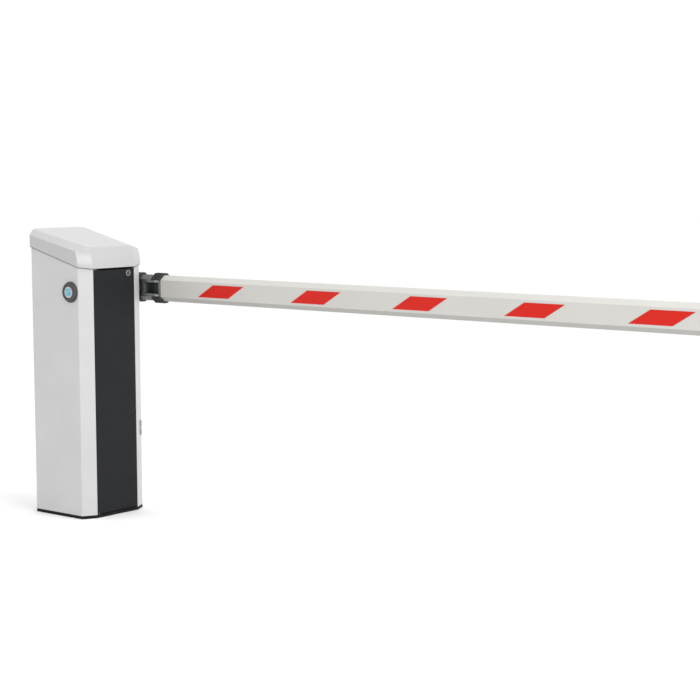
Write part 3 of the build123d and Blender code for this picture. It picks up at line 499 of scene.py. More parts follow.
def glowing_lamp(name, colour, strength):
    """A small indicator lamp: a clear coloured dome that glows."""
    fixed = {"Coat Weight": 0.6, "Emission Strength": strength, "Emission Color": (*colour, 1.0)}
    material = start_material(name, 0.2, fixed=fixed)
    glow = grain(material, place_on_surface(material), 900.0, 2.0)
    feed(material, "Base Color", ramp(material, glow, tones(colour, 0.8, 1.1)))
    return material


# Each finish: how it is made, its colour or the colour setting it takes, and what differs.
FINISHES = {
    "cabinet_coat": (powder_coat, "cabinet", {"roughness": 0.40}),
    "hood_paint": (
        powder_coat,
        "hood",
        {"roughness": 0.34, "peel": 0.04, "mottle": 0.02, "coat": 0.40},
    ),
    "door_coat": (textured_coat, "door", {}),
    "base_coat": (textured_coat, "base", {"roughness": 0.62}),
    # boom_coat: film paints shade on the boom's undersides.
    "boom_coat": (
        powder_coat,
        "boom",
        {"roughness": 0.38, "peel": 0.09, "mottle": 0.02, "film": 0.66},
    ),
    "marker_film": (reflective_film, "marker", {}),
    "cast_coat": (cast_paint, "casting", {}),
    "jaw_coat": (cast_paint, "jaw", {}),
    "zinc_plate": (
        plated_steel,
        (0.62, 0.63, 0.64),
        {"roughness": 0.36, "stretch": ALONG_POST},
    ),
    "black_steel": (plated_steel, (0.16, 0.16, 0.17), {"roughness": 0.40}),
    "turned_steel": (ground_steel, (0.68, 0.69, 0.70), {"stretch": ALONG_SHAFT}),
    "bright_bar": (ground_steel, (0.70, 0.71, 0.72), {"stretch": ALONG_ROD}),
    "spring_steel": (plated_steel, (0.24, 0.24, 0.26), {"roughness": 0.30}),
    "band_steel": (ground_steel, (0.42, 0.43, 0.45), {"stretch": ALONG_ROD, "roughness": 0.28}),
    "dark_moulding": (moulded_plastic, "moulding", {}),
    "light_moulding": (moulded_plastic, "light_moulding", {"roughness": 0.5}),
    "lock_moulding": (moulded_plastic, "lock", {"roughness": 0.45}),
    "disc_moulding": (
        moulded_plastic,
        "disc",
        {"roughness": 0.34, "stipple": 0.05, "coat": 0.4},
    ),
    "symbol_print": (
        moulded_plastic,
        "symbol",
        {"roughness": 0.30, "stipple": 0.04, "coat": 0.5},
    ),
    "seal_rubber": (black_rubber, "rubber", {}),
    "motor_enamel": (
        powder_coat,
        "motor",
        {"roughness": 0.35, "peel": 0.16, "mottle": 0.08, "coat": 0.2},
    ),
    "satin_rim": (ground_steel, (0.36, 0.36, 0.37), {"stretch": (1, 1, 0.1), "roughness": 0.24}),
    "display_glass": (
        moulded_plastic,
        (0.010, 0.020, 0.022),
        {"roughness": 0.12, "stipple": 0.0, "coat": 1.0},
    ),
    "key_rubber": (black_rubber, (0.10, 0.10, 0.11), {}),
    "blue_moulding": (moulded_plastic, (0.03, 0.10, 0.36), {"roughness": 0.45}),
    "earth_moulding": (moulded_plastic, (0.12, 0.36, 0.05), {"roughness": 0.45}),
    "green_lamp": (glowing_lamp, (0.05, 0.75, 0.12), {"strength": 0.8}),
    "amber_lamp": (glowing_lamp, (0.90, 0.38, 0.03), {"strength": 0.5}),
}
MADE = {}


def finish_named(name):
    """The material of that name, made the first time it is asked for."""
    if name not in MADE:
        make, colour, settings = FINISHES[name]
        if isinstance(colour, str):
            colour = getattr(bpy.context.scene.barrier_colours, colour)
        MADE[name] = make(name, colour, **settings)
    return MADE[name]


# ---------------------------------------------------------------- shapes


def clean_surface(node):
    """A copy of a node's surface with one vertex per corner and one face per flat side."""
    surface = bmesh.new()
    surface.from_mesh(frame["nodes"][node].data)
    bmesh.ops.remove_doubles(surface, verts=surface.verts, dist=WELD_DISTANCE)
    bmesh.ops.dissolve_limit(
        surface, angle_limit=FLAT_ANGLE, verts=surface.verts, edges=surface.edges
    )
    return surface


def round_edges(surface, width, angle=EDGE_ANGLE, segments=2, wanted=None):
    """Round the edges that are sharper than an angle, or only the wanted ones of them."""
    edges = [
        edge
        for edge in surface.edges
        if len(edge.link_faces) == 2
        and edge.calc_face_angle(0.0) > angle
        and (wanted is None or wanted(edge))
    ]
    if edges and width > 0:
        bmesh.ops.bevel(
            surface,
            geom=edges,
            offset=width,
            offset_type="OFFSET",
            segments=segments,
            profile=0.5,
            affect="EDGES",
            clamp_overlap=True,
        )


def make_piece(name, surface, finish, node, body=None, replaces=False, loose=False):
    """Turn a surface into a finished piece of a node: it takes the node's body."""
    mesh = bpy.data.meshes.new(name)
    surface.to_mesh(mesh)
    surface.free()
    mesh.shade_smooth()
    mesh.set_sharp_from_angle(angle=SHARP_ANGLE)
    mesh.materials.append(finish_named(finish))
    piece = bpy.data.objects.new(name, mesh)
    bpy.context.scene.collection.objects.link(piece)
    even = piece.modifiers.new("even_shading", "WEIGHTED_NORMAL")
    even.keep_sharp = True
    if not loose:
        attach(piece, body or BODY_OF[node])
    if replaces:
        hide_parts(node)
    return piece


def dress(node, finish, width, segments=2):
    """Finish a node: the same shape with its edges rounded, in its material."""
    surface = clean_surface(node)
    round_edges(surface, width, segments=segments)
    return make_piece(f"{node}_finished", surface, finish, node, replaces=True)


def add_block(surface, low, high, edge, segments=2):
    """Add a block with rounded edges between two corners."""
    low = Vector(low)
    high = Vector(high)
    part = bmesh.new()
    centre = Matrix.Translation((low + high) / 2)
    bmesh.ops.create_cube(part, size=1.0, matrix=centre @ Matrix.Diagonal((*(high - low), 1.0)))
    round_edges(part, edge, segments=segments)
    merge(surface, part)


def circle(surface, middle, side, other, radius, steps):
    """Vertices round a middle point, in the plane of two directions."""
    ring = []
    for step in range(steps):
        angle = 2 * math.pi * step / steps
        spoke = side * math.cos(angle) + other * math.sin(angle)
        ring.append(surface.verts.new(middle + radius * spoke))
    return ring


def skin(surface, rings, steps):
    """Faces between rings; a ring of one vertex is a point."""
    for near, far in zip(rings, rings[1:]):
        for step in range(steps):
            after = (step + 1) % steps
            corners = [near[step % len(near)], near[after % len(near)]]
            corners += [far[after % len(far)], far[step % len(far)]]
            unique = list(dict.fromkeys(corners))
            if len(unique) > 2:
                surface.faces.new(unique)


def turned(profile, centre, axis, steps=48):
    """A turned shape; the profile is (distance along the axis, radius) from end to end."""
    surface = bmesh.new()
    axis = Vector(axis).normalized()
    side = axis.orthogonal().normalized()
    other = axis.cross(side)
    rings = []
    for distance, radius in profile:
        middle = Vector(centre) + axis * distance
        if radius > 0:
            rings.append(circle(surface, middle, side, other, radius, steps))
        else:
            rings.append([surface.verts.new(middle)])
    skin(surface, rings, steps)
    bmesh.ops.recalc_face_normals(surface, faces=surface.faces)
    return surface


def add_tube(surface, points, radius, sides=12):
    """Add a round tube along points, closed at both ends."""
    rings = []
    side = None
    for index, point in enumerate(points):
        before = points[max(index - 1, 0)]
        after = points[min(index + 1, len(points) - 1)]
        along = (after - before).normalized()
        if side is None:
            side = along.orthogonal()
        side = (side - along * side.dot(along)).normalized()
        rings.append(circle(surface, point, side, along.cross(side), radius, sides))
    skin(surface, rings, sides)
    surface.faces.new(reversed(rings[0]))
    surface.faces.new(rings[-1])


def merge(surface, part):
    """Add one surface's faces to another."""
    holder = bpy.data.meshes.new("part")
    part.to_mesh(holder)
    part.free()
    surface.from_mesh(holder)
    bpy.data.meshes.remove(holder)


def rounded_profile(corners, radius, steps=5):
    """A turned profile whose inner corners are rounded with arcs of up to a radius."""
    points = [Vector(corner) for corner in corners]
    rounded = [points[0]]
    for before, corner, after in zip(points, points[1:], points[2:]):
        to_before = before - corner
        to_after = after - corner
        most = 0.45 * min(to_before.length, to_after.length)
        reach = min(radius, most)
        start = corner + to_before.normalized() * reach
        end = corner + to_after.normalized() * reach
        for step in range(steps + 1):
            share = step / steps
            rounded.append(
                start * (1 - share) ** 2 + corner * (2 * share * (1 - share)) + end * share**2
            )
    rounded.append(points[-1])
    return [tuple(point) for point in rounded]


# ---------------------------------------------------------------- cabinet


class DressCabinet(bpy.types.Operator):
    """Finish the cabinet's shell, its base plate and the seal under the hood"""

    bl_idname = "barrier.dress_cabinet"
    bl_label = "Cabinet Shell"

    def execute(self, context):
        sizes = context.scene.barrier_sizes
        dress("housing", "cabinet_coat", sizes.sheet_edge)
        dress("base_plate", "base_coat", sizes.casting_edge)
        dress("hood_seal", "seal_rubber", sizes.machined_edge)
        return {"FINISHED"}


class DressHood(bpy.types.Operator):
    """Finish the hood: soft edges between its faces and a crisp lower rim"""

    bl_idname = "barrier.dress_hood"
    bl_label = "Hood"

    def execute(self, context):
        sizes = context.scene.barrier_sizes
        surface = clean_surface("hood")

        def on_rim(edge):
            return any(face.normal.z < FACING_DOWN for face in edge.link_faces)

        def on_crown(edge):
            return edge.is_convex and not on_rim(edge)

        round_edges(surface, sizes.hood_edge, CROWN_ANGLE, 4, on_crown)
        round_edges(surface, sizes.hood_rim, EDGE_ANGLE, 2, on_rim)
        make_piece("hood_finished", surface, "hood_paint", "hood", replaces=True)
        self.add_rim_bead()
        return {"FINISHED"}

    def add_rim_bead(self):
        """A dark rubber bead under the hood's rim, partly a seal and partly painted shadow."""
        inset = 0.0003
        into_rim = 0.0002
        height = 0.0015
        slack = 0.0003
        bead = clean_surface("hood")
        low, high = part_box("hood")
        front = min(vertex.co.z for vertex in bead.verts if vertex.co.x > high.x - slack)
        back = min(vertex.co.z for vertex in bead.verts if vertex.co.x < low.x + slack)

        def on_rim(vertex):
            share = (vertex.co.x - low.x) / (high.x - low.x)
            return abs(vertex.co.z - (back + (front - back) * share)) < slack

        spare = [
            face
            for face in bead.faces
            if face.normal.z > FACING_DOWN or not all(map(on_rim, face.verts))
        ]
        bmesh.ops.delete(bead, geom=spare, context="FACES")
        border = bmesh.ops.inset_region(bead, faces=bead.faces[:], thickness=inset)["faces"]
        bmesh.ops.delete(bead, geom=border, context="FACES")
        bmesh.ops.translate(bead, verts=bead.verts, vec=Z_AXIS * into_rim)
        lower = bmesh.ops.extrude_face_region(bead, geom=bead.faces[:], use_keep_orig=True)
        moved = [part for part in lower["geom"] if isinstance(part, bmesh.types.BMVert)]
        bmesh.ops.translate(bead, verts=moved, vec=Z_AXIS * -height)
        bmesh.ops.recalc_face_normals(bead, faces=bead.faces)
        # Partly a seal, partly painted shadow: the bead darkens the line under the rim's overhang.
        make_piece("hood_rim_bead", bead, "seal_rubber", "hood")


class DressDoor(bpy.types.Operator):
    """Finish the front door, its hinge pins and block, and its round emblem"""

    bl_idname = "barrier.dress_door"
    bl_label = "Front Door"

    def execute(self, context):
        sizes = context.scene.barrier_sizes
        dress("front_door", "door_coat", sizes.door_edge)
        dress("door_pins", "bright_bar", sizes.machined_edge)
        dress("hinge_block", "black_steel", sizes.machined_edge)
        self.build_emblem(sizes.round_steps)
        return {"FINISHED"}

    def build_emblem(self, steps):
        """A plain button: a dark domed centre in a bright rim."""
        low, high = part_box("door_emblem")
        centre = Vector((0, (low.y + high.y) / 2, (low.z + high.z) / 2))
        radius = (high.z - low.z) / 2
        lip = radius * 0.74
        shoulder = high.x - 0.0002
        dish = high.x - 0.0009
        outline = [
            (low.x, 0),
            (low.x, radius - 0.0004),
            (high.x - 0.0010, radius),
            (shoulder, radius - 0.0006),
            (high.x, radius - 0.0014),
            (shoulder, lip + 0.0004),
            (dish, lip),
            (dish, 0),
        ]
        rim = turned(rounded_profile(outline, 0.0003), centre, X_AXIS, steps)
        make_piece("emblem_rim", rim, "satin_rim", "door_emblem", replaces=True)
        foot = high.x - 0.0008
        rise = 0.0007
        profile = [(foot - 0.0004, 0), (foot - 0.0004, lip - 0.0001), (foot, lip - 0.0003)]
        arc_steps = 6
        for step in range(1, arc_steps + 1):
            angle = math.pi / 2 * step / arc_steps
            profile.append((foot + rise * math.sin(angle), lip * math.cos(angle)))
        profile[-1] = (profile[-1][0], 0)
        dome = turned(profile, centre, X_AXIS, steps)
        make_piece("emblem_dome", dome, "dark_moulding", "door_emblem")


class DressLock(bpy.types.Operator):
    """Finish the door lock on the corner of the cabinet"""

    bl_idname = "barrier.dress_lock"
    bl_label = "Door Lock"

    def execute(self, context):
        sizes = context.scene.barrier_sizes
        dress("lock_plate", "lock_moulding", sizes.casting_edge)
        dress("lock_barrel", "bright_bar", sizes.machined_edge / 2)
        return {"FINISHED"}


class BuildBlankingCap(bpy.types.Operator):
    """Build the cap over the unused shaft opening, with a barrier symbol on its disc"""

    bl_idname = "barrier.build_blanking_cap"
    bl_label = "Blanking Cap"

    def execute(self, context):
        steps = context.scene.barrier_sizes.round_steps
        low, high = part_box("cap_ring")
        disc_low, disc_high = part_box("cap_disc")
        shell_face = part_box("housing")[0].y
        centre = Vector(((low.x + high.x) / 2, 0, (low.z + high.z) / 2))
        foot = (high.x - low.x) / 2
        disc = (disc_high.x - disc_low.x) / 2
        front = low.y
        crown = foot - 0.0025
        outline = [
            (high.y, 0),
            (high.y, 0.026),
            (shell_face, 0.0275),
            (shell_face, foot),
            (shell_face - 0.0035, foot),
            (shell_face - 0.0050, crown),
            (front + 0.0045, crown),
            (front, crown - 0.0042),
            (front, disc + 0.0022),
            (disc_high.y - 0.0008, disc + 0.0003),
            (disc_high.y - 0.0008, 0),
        ]
        ring = turned(rounded_profile(outline, 0.0012), centre, Y_AXIS, steps)
        make_piece("cap_ring_turned", ring, "dark_moulding", "cap_ring", replaces=True)
        dish = [
            (disc_high.y - 0.0003, 0),
            (disc_high.y - 0.0003, disc - 0.0002),
            (front + 0.0018, disc - 0.0002),
            (front + 0.0010, disc - 0.0014),
            (front + 0.0007, disc * 0.55),
            (front + 0.0006, 0),
        ]
        face = turned(rounded_profile(dish, 0.0008), centre, Y_AXIS, steps)
        make_piece("cap_disc_turned", face, "disc_moulding", "cap_disc", replaces=True)
        self.add_symbol(Vector((centre.x, front + 0.0006, centre.z)), disc / 10)
        return {"FINISHED"}

    def add_symbol(self, centre, unit):
        """A printed square with a pale slanted bar over a pale post."""
        proud = 0.0003
        square = bmesh.new()
        corner = Vector((5.6 * unit, proud, 5.6 * unit))
        add_block(square, centre - corner, centre + corner, 0.0002)
        make_piece("cap_symbol", square, "symbol_print", "cap_disc")
        marks = bmesh.new()
        print_face = centre - Y_AXIS * proud
        post_low = print_face + Vector((-3.8 * unit, -proud / 2, -4.0 * unit))
        post_high = print_face + Vector((-1.6 * unit, proud / 2, -0.8 * unit))
        add_block(marks, post_low, post_high, 0.0001)
        bar = bmesh.new()
        end = Vector((4.4 * unit, proud / 2, 0.9 * unit))
        add_block(bar, -end, end, 0.0001)
        rise = Matrix.Rotation(math.radians(-20), 4, "Y")
        place = Matrix.Translation(print_face + Z_AXIS * 1.6 * unit)
        bmesh.ops.transform(bar, matrix=place @ rise, verts=bar.verts)
        merge(marks, bar)
        make_piece("cap_symbol_marks", marks, "disc_moulding", "cap_disc")


# ---------------------------------------------------------------- boom


class DressFlange(bpy.types.Operator):
    """Finish the cast flange, its clamps, bolts and the screw that holds it on the shaft"""

    bl_idname = "barrier.dress_flange"
    bl_label = "Boom Flange"

    def execute(self, context):
        sizes = context.scene.barrier_sizes
        dress("boom_flange", "cast_coat", sizes.casting_edge)
        dress("flange_clamps", "jaw_coat", sizes.machined_edge)
        dress("clamp_bolts", "zinc_plate", sizes.machined_edge)
        dress("flange_screw", "zinc_plate", sizes.machined_edge)
        return {"FINISHED"}


class DressBoom(bpy.types.Operator):
    """Finish the boom, its end cap and the reflective markers on both sides"""

    bl_idname = "barrier.dress_boom"
    bl_label = "Boom and Markers"

    def execute(self, context):
        sizes = context.scene.barrier_sizes
        dress("boom", "boom_coat", sizes.boom_edge, segments=4)
        dress("boom_end_cap", "dark_moulding", sizes.machined_edge)
        dress("boom_markers", "marker_film", sizes.film_edge)
        return {"FINISHED"}


# ---------------------------------------------------------------- drive


class DressFrame(bpy.types.Operator):
    """Finish the posts, plates, bars, bolts and shelves inside the cabinet"""

    bl_idname = "barrier.dress_frame"
    bl_label = "Inner Frame"

    plated = ("frame_posts", "side_plate_left", "side_plate_right", "gearbox_shelf", "spring_beam",
              "stop_blocks", "mounting_plate", "din_rails", "plate_bolts", "bearing_screws")

    def execute(self, context):
        sizes = context.scene.barrier_sizes
        for node in self.plated:
            dress(node, "zinc_plate", sizes.machined_edge)
        dress("cross_bars", "turned_steel", sizes.machined_edge)
        dress("guide_rods", "bright_bar", sizes.machined_edge)
        dress("stop_buffers", "seal_rubber", sizes.casting_edge)
        return {"FINISHED"}


class DressDrive(bpy.types.Operator):
    """Finish the main shaft, its bearings and keys, and the crank drive"""

    bl_idname = "barrier.dress_drive"
    bl_label = "Shaft and Crank Drive"

    bright = ("main_shaft", "shaft_bearings", "gearbox_shaft", "lever_pin", "crank_pin")
    black = ("shaft_keys", "drive_lever", "crank_arm", "balance_sector", "stop_arm")

    def execute(self, context):
        sizes = context.scene.barrier_sizes
        for node in self.bright:
            dress(node, "turned_steel", sizes.machined_edge)
        for node in self.black:
            dress(node, "black_steel", sizes.machined_edge)
        dress("bearing_cases", "cast_coat", sizes.casting_edge)
        dress("shaft_seal", "seal_rubber", sizes.machined_edge)
        dress("connecting_rod", "zinc_plate", sizes.casting_edge)
        return {"FINISHED"}


class DressGearmotor(bpy.types.Operator):
    """Finish the gearbox, the motor with its fan cover and the terminal box"""

    bl_idname = "barrier.dress_gearmotor"
    bl_label = "Gearbox and Motor"

    def execute(self, context):
        sizes = context.scene.barrier_sizes
        dress("gearbox", "cast_coat", sizes.casting_edge)
        dress("motor", "motor_enamel", sizes.machined_edge)
        dress("motor_fan_cover", "dark_moulding", sizes.machined_edge)
        dress("terminal_box", "dark_moulding", sizes.casting_edge)
        self.add_box_lid()
        return {"FINISHED"}

    def add_box_lid(self):
        """A lid with four screws on the terminal box."""
        low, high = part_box("terminal_box")
        lid = bmesh.new()
        margin = 0.003
        corner_low = Vector((low.x + margin, high.y, low.z + margin))
        corner_high = Vector((high.x - margin, high.y + 0.002, high.z - margin))
        add_block(lid, corner_low, corner_high, 0.0012, 3)
        make_piece("terminal_box_lid", lid, "dark_moulding", "terminal_box")
        screws = bmesh.new()
        inset = 0.007
        for x in (corner_low.x + inset, corner_high.x - inset):
            for z in (corner_low.z + inset, corner_high.z - inset):
                add_screw_head(screws, Vector((x, corner_high.y, z)), Y_AXIS, 0.0028)
        make_piece("terminal_box_screws", screws, "zinc_plate", "terminal_box")


def add_screw_head(surface, place, axis, radius):
    """A domed screw head with a round recess for the driver."""
    profile = [
        (-0.0002, 0),
        (-0.0002, radius),
        (radius * 0.30, radius * 0.96),
        (radius * 0.62, radius * 0.62),
        (radius * 0.70, radius * 0.34),
        (radius * 0.25, radius * 0.28),
        (radius * 0.25, 0),
    ]
    merge(surface, turned(profile, place, axis, 20))


class BuildBalance(bpy.types.Operator):
    """Build the coiled balance springs, their end plugs and the steel strap that pulls them"""

    bl_idname = "barrier.build_balance"
    bl_label = "Balance Springs"

    def execute(self, context):
        sizes = context.scene.barrier_sizes
        dress("spring_crosshead", "zinc_plate", sizes.casting_edge)
        dress("strap_wrap", "band_steel", sizes.film_edge)
        self.build_springs(sizes)
        self.build_strap()
        return {"FINISHED"}

    def build_springs(self, sizes):
        low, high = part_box("balance_springs")
        radius = (high.x - low.x) / 2
        middle_x = (low.x + high.x) / 2
        seats_y = (low.y + radius, high.y - radius)
        stem = 0.014
        coil_low = low.z + stem
        coil_high = high.z - stem
        wire = sizes.spring_wire / 2
        steps = 28
        coils = bmesh.new()
        plugs_low = bmesh.new()
        plugs_high = bmesh.new()
        for seat_y in seats_y:
            points = []
            total = sizes.spring_turns * steps
            for index in range(total + 1):
                angle = 2 * math.pi * index / steps
                share = index / total
                points.append(
                    Vector((
                        middle_x + (radius - wire) * math.cos(angle),
                        seat_y + (radius - wire) * math.sin(angle),
                        coil_low + wire + (coil_high - coil_low - 2 * wire) * share,
                    ))
                )
            add_tube(coils, points, wire, sides=10)
            for plugs, seat_z, up in ((plugs_low, low.z, 1), (plugs_high, high.z, -1)):
                self.add_plug(plugs, Vector((middle_x, seat_y, seat_z)), Z_AXIS * up, radius, stem)
        spring = make_piece("balance_spring_coils", coils, "spring_steel", "balance_springs",
                            body="cabinet", replaces=True)
        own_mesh(spring)
        for name, plugs, body in (("spring_plugs_lower", plugs_low, "cabinet"),
                                  ("spring_plugs_upper", plugs_high, "spring_head")):
            make_piece(name, plugs, "zinc_plate", "balance_springs", body=body)

    def add_plug(self, surface, seat, axis, radius, stem):
        """A threaded stud with a nut at its seat and a grooved plug inside the coil's end."""
        stud = 0.004
        nut = 0.0075
        nut_height = 0.0050
        thread = 0.0010
        groove = 0.0004
        collar = radius - 0.0005
        core = radius - 0.0042
        chamfer = 0.001
        collar_low = stem - 0.001
        collar_high = stem + 0.001
        end = stem + 0.017
        profile = [(0, 0), (0, nut), (nut_height - chamfer / 2, nut), (nut_height, stud)]
        distance = nut_height
        while distance < stem - 1.5 * thread:
            profile += [(distance, stud), (distance + thread / 2, stud - groove)]
            distance += thread
        profile += [(collar_low, stud), (collar_low, collar), (collar_high, collar),
                    (collar_high, core), (end - chamfer, core), (end, core - chamfer), (end, 0)]
        merge(surface, turned(profile, seat, axis, 36))

    def build_strap(self):
        low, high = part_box("balance_strap")
        strap = bmesh.new()
        add_block(strap, low, high, 0.0002)
        sections = 30
        for index in range(1, sections):
            height = low.z + (high.z - low.z) * index / sections
            bmesh.ops.bisect_plane(
                strap,
                geom=[*strap.verts, *strap.edges, *strap.faces],
                plane_co=(0, 0, height),
                plane_no=Z_AXIS,
            )
        piece = make_piece("balance_strap_band", strap, "band_steel", "balance_strap",
                           replaces=True, loose=True)
        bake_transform(piece)


# ---------------------------------------------------------------- controls


class BuildControls(bpy.types.Operator):
    """Build the controller, loop detector, power supply, circuit breaker and terminals"""

    bl_idname = "barrier.build_controls"
    bl_label = "Control Equipment"

    def execute(self, context):
        sizes = context.scene.barrier_sizes
        dress("controller", "dark_moulding", sizes.casting_edge)
        for node in ("loop_detector", "power_supply", "circuit_breaker"):
            dress(node, "light_moulding", sizes.casting_edge)
        self.add_controller_face()
        self.add_detector_face()
        self.add_supply_vents()
        self.add_breaker_toggle()
        self.build_terminals()
        return {"FINISHED"}

    def add_controller_face(self):
        """A display in a bezel, plugs, keys and indicator lamps."""
        bezel = bmesh.new()
        frame_low = on_front("controller", 0.10, 0.52, -SUNK)
        frame_high = on_front("controller", 0.68, 0.88, 0.0016)
        add_block(bezel, frame_low, frame_high, 0.0010, 3)
        for index in range(10):
            start = 0.08 + 0.086 * index
            plug_low = on_front("controller", start, 0.05, -SUNK)
            plug_high = on_front("controller", start + 0.066, 0.17, 0.006)
            add_block(bezel, plug_low, plug_high, 0.0006)
        make_piece("controller_bezel", bezel, "dark_moulding", "controller")
        glass = bmesh.new()
        inset = Vector((0, 0.003, 0.003))
        glass_low = Vector((frame_high.x - 0.0008, frame_low.y, frame_low.z)) + inset
        glass_high = frame_high - inset + Vector((0.0003, 0, 0))
        add_block(glass, glass_low, glass_high, 0.0003)
        make_piece("controller_display", glass, "display_glass", "controller")
        keys = bmesh.new()
        for index in range(4):
            add_dome(keys, on_front("controller", 0.16 + 0.155 * index, 0.38), 0.0042, 0.0024)
        make_piece("controller_keys", keys, "key_rubber", "controller")
        for finish, rows in (("green_lamp", (0.82, 0.74)), ("amber_lamp", (0.66, 0.58))):
            lamps = bmesh.new()
            for row in rows:
                for column in (0.78, 0.86):
                    add_dome(lamps, on_front("controller", column, row), 0.0016, 0.0014)
            make_piece(f"controller_{finish}s", lamps, finish, "controller")

    def add_detector_face(self):
        """A panel with small switches, a knob with a pointer, and two lamps."""
        rise = 0.0012
        panel = bmesh.new()
        panel_low = on_front("loop_detector", 0.14, 0.16, -SUNK)
        panel_high = on_front("loop_detector", 0.86, 0.84, rise)
        add_block(panel, panel_low, panel_high, 0.0008, 3)
        for index in range(4):
            start = 0.26 + 0.13 * index
            switch_low = on_front("loop_detector", start, 0.30, rise - 0.0005)
            switch_high = on_front("loop_detector", start + 0.07, 0.38, rise + 0.0018)
            add_block(panel, switch_low, switch_high, 0.0003)
        make_piece("loop_detector_panel", panel, "dark_moulding", "loop_detector")
        knob = bmesh.new()
        centre = on_front("loop_detector", 0.5, 0.55, rise)
        add_dome(knob, centre, 0.0060, 0.0050)
        pointer_low = centre + Vector((0.0040, -0.0008, -0.0048))
        pointer_high = centre + Vector((0.0062, 0.0008, 0.0048))
        add_block(knob, pointer_low, pointer_high, 0.0003)
        make_piece("loop_detector_knob", knob, "key_rubber", "loop_detector")
        lamps = bmesh.new()
        for column in (0.36, 0.64):
            add_dome(lamps, on_front("loop_detector", column, 0.74, rise), 0.0018, 0.0015)
        make_piece("loop_detector_lamps", lamps, "amber_lamp", "loop_detector")

    def add_supply_vents(self):
        """Cooling fins and two rows of terminal screws."""
        fins = bmesh.new()
        fin_thickness = Vector((0, 0, 0.0022))
        count = 11
        for index in range(count):
            height = 0.22 + 0.56 * index / (count - 1)
            fin_low = on_front("power_supply", 0.12, height, -SUNK)
            fin_high = on_front("power_supply", 0.88, height, 0.0016) + fin_thickness
            add_block(fins, fin_low, fin_high, 0.0007)
        make_piece("power_supply_fins", fins, "light_moulding", "power_supply")
        screws = bmesh.new()
        for row in (0.08, 0.92):
            for column in (0.2, 0.4, 0.6, 0.8):
                add_screw_head(screws, on_front("power_supply", column, row), X_AXIS, 0.0026)
        make_piece("power_supply_screws", screws, "zinc_plate", "power_supply")

    def add_breaker_toggle(self):
        """A raised front with two toggles."""
        depth = 0.014
        body = bmesh.new()
        body_low = on_front("circuit_breaker", 0, 0.27, -SUNK)
        add_block(body, body_low, on_front("circuit_breaker", 1, 0.73, depth), 0.0018, 3)
        make_piece("circuit_breaker_front", body, "light_moulding", "circuit_breaker")
        toggles = bmesh.new()
        tilt = Matrix.Rotation(math.radians(-32), 4, "Y")
        for column in (0.25, 0.75):
            lever = bmesh.new()
            add_block(lever, (0, -0.0045, -0.0035), (0.011, 0.0045, 0.0035), 0.0012, 3)
            seat = on_front("circuit_breaker", column, 0.5, depth - 0.003) + Z_AXIS * 0.002
            matrix = Matrix.Translation(seat) @ tilt
            bmesh.ops.transform(lever, matrix=matrix, verts=lever.verts)
            merge(toggles, lever)
        make_piece("circuit_breaker_toggles", toggles, "dark_moulding", "circuit_breaker")

    def build_terminals(self):
        """A row of clamps: an earth and a neutral one, then plain ones, with their screws."""
        low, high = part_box("terminal_block")
        count = 9
        gap = 0.0004
        shoulder = 0.010
        pitch = (high.y - low.y + gap) / count
        height = high.z - low.z
        finishes = {0: "earth_moulding", 1: "blue_moulding"}
        groups = {}
        screws = bmesh.new()
        for index in range(count):
            surface = groups.setdefault(finishes.get(index, "light_moulding"), bmesh.new())
            near = low.y + index * pitch
            far = near + pitch - gap
            add_block(surface, (low.x, near, low.z), (high.x - shoulder, far, high.z), 0.0004)
            ridge_low = (high.x - shoulder - 0.002, near, low.z + height * 0.22)
            ridge_high = (high.x, far, high.z - height * 0.22)
            add_block(surface, ridge_low, ridge_high, 0.0006)
            for row in (0.10, 0.90):
                place = Vector((high.x - shoulder, (near + far) / 2, low.z + height * row))
                add_screw_head(screws, place, X_AXIS, 0.0019)
        for order, (finish, surface) in enumerate(groups.items()):
            name = f"terminals_{finish}"
            make_piece(name, surface, finish, "terminal_block", replaces=order == 0)
        make_piece("terminal_screws", screws, "zinc_plate", "terminal_block")


def on_front(node, across, up, out=0.0):
    """A point on a control's front: shares of its width and height, and metres in front."""
    low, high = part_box(node)
    y = low.y + (high.y - low.y) * across
    return Vector((high.x + out, y, low.z + (high.z - low.z) * up))


def add_dome(surface, centre, radius, height):
    """A round key or lamp with a domed top, facing +X."""
    shoulder = 0.45
    waist = 0.97
    profile = [(-0.0002, 0), (-0.0002, radius), (height * shoulder, radius * waist)]
    arc_steps = 5
    for step in range(1, arc_steps + 1):
        angle = math.pi / 2 * step / arc_steps
        rise = height * (shoulder + (1 - shoulder) * math.sin(angle))
        profile.append((rise, max(0.0, radius * waist * math.cos(angle))))
    profile[-1] = (height, 0)
    merge(surface, turned(profile, centre, X_AXIS, 28))


# ---------------------------------------------------------------- stage


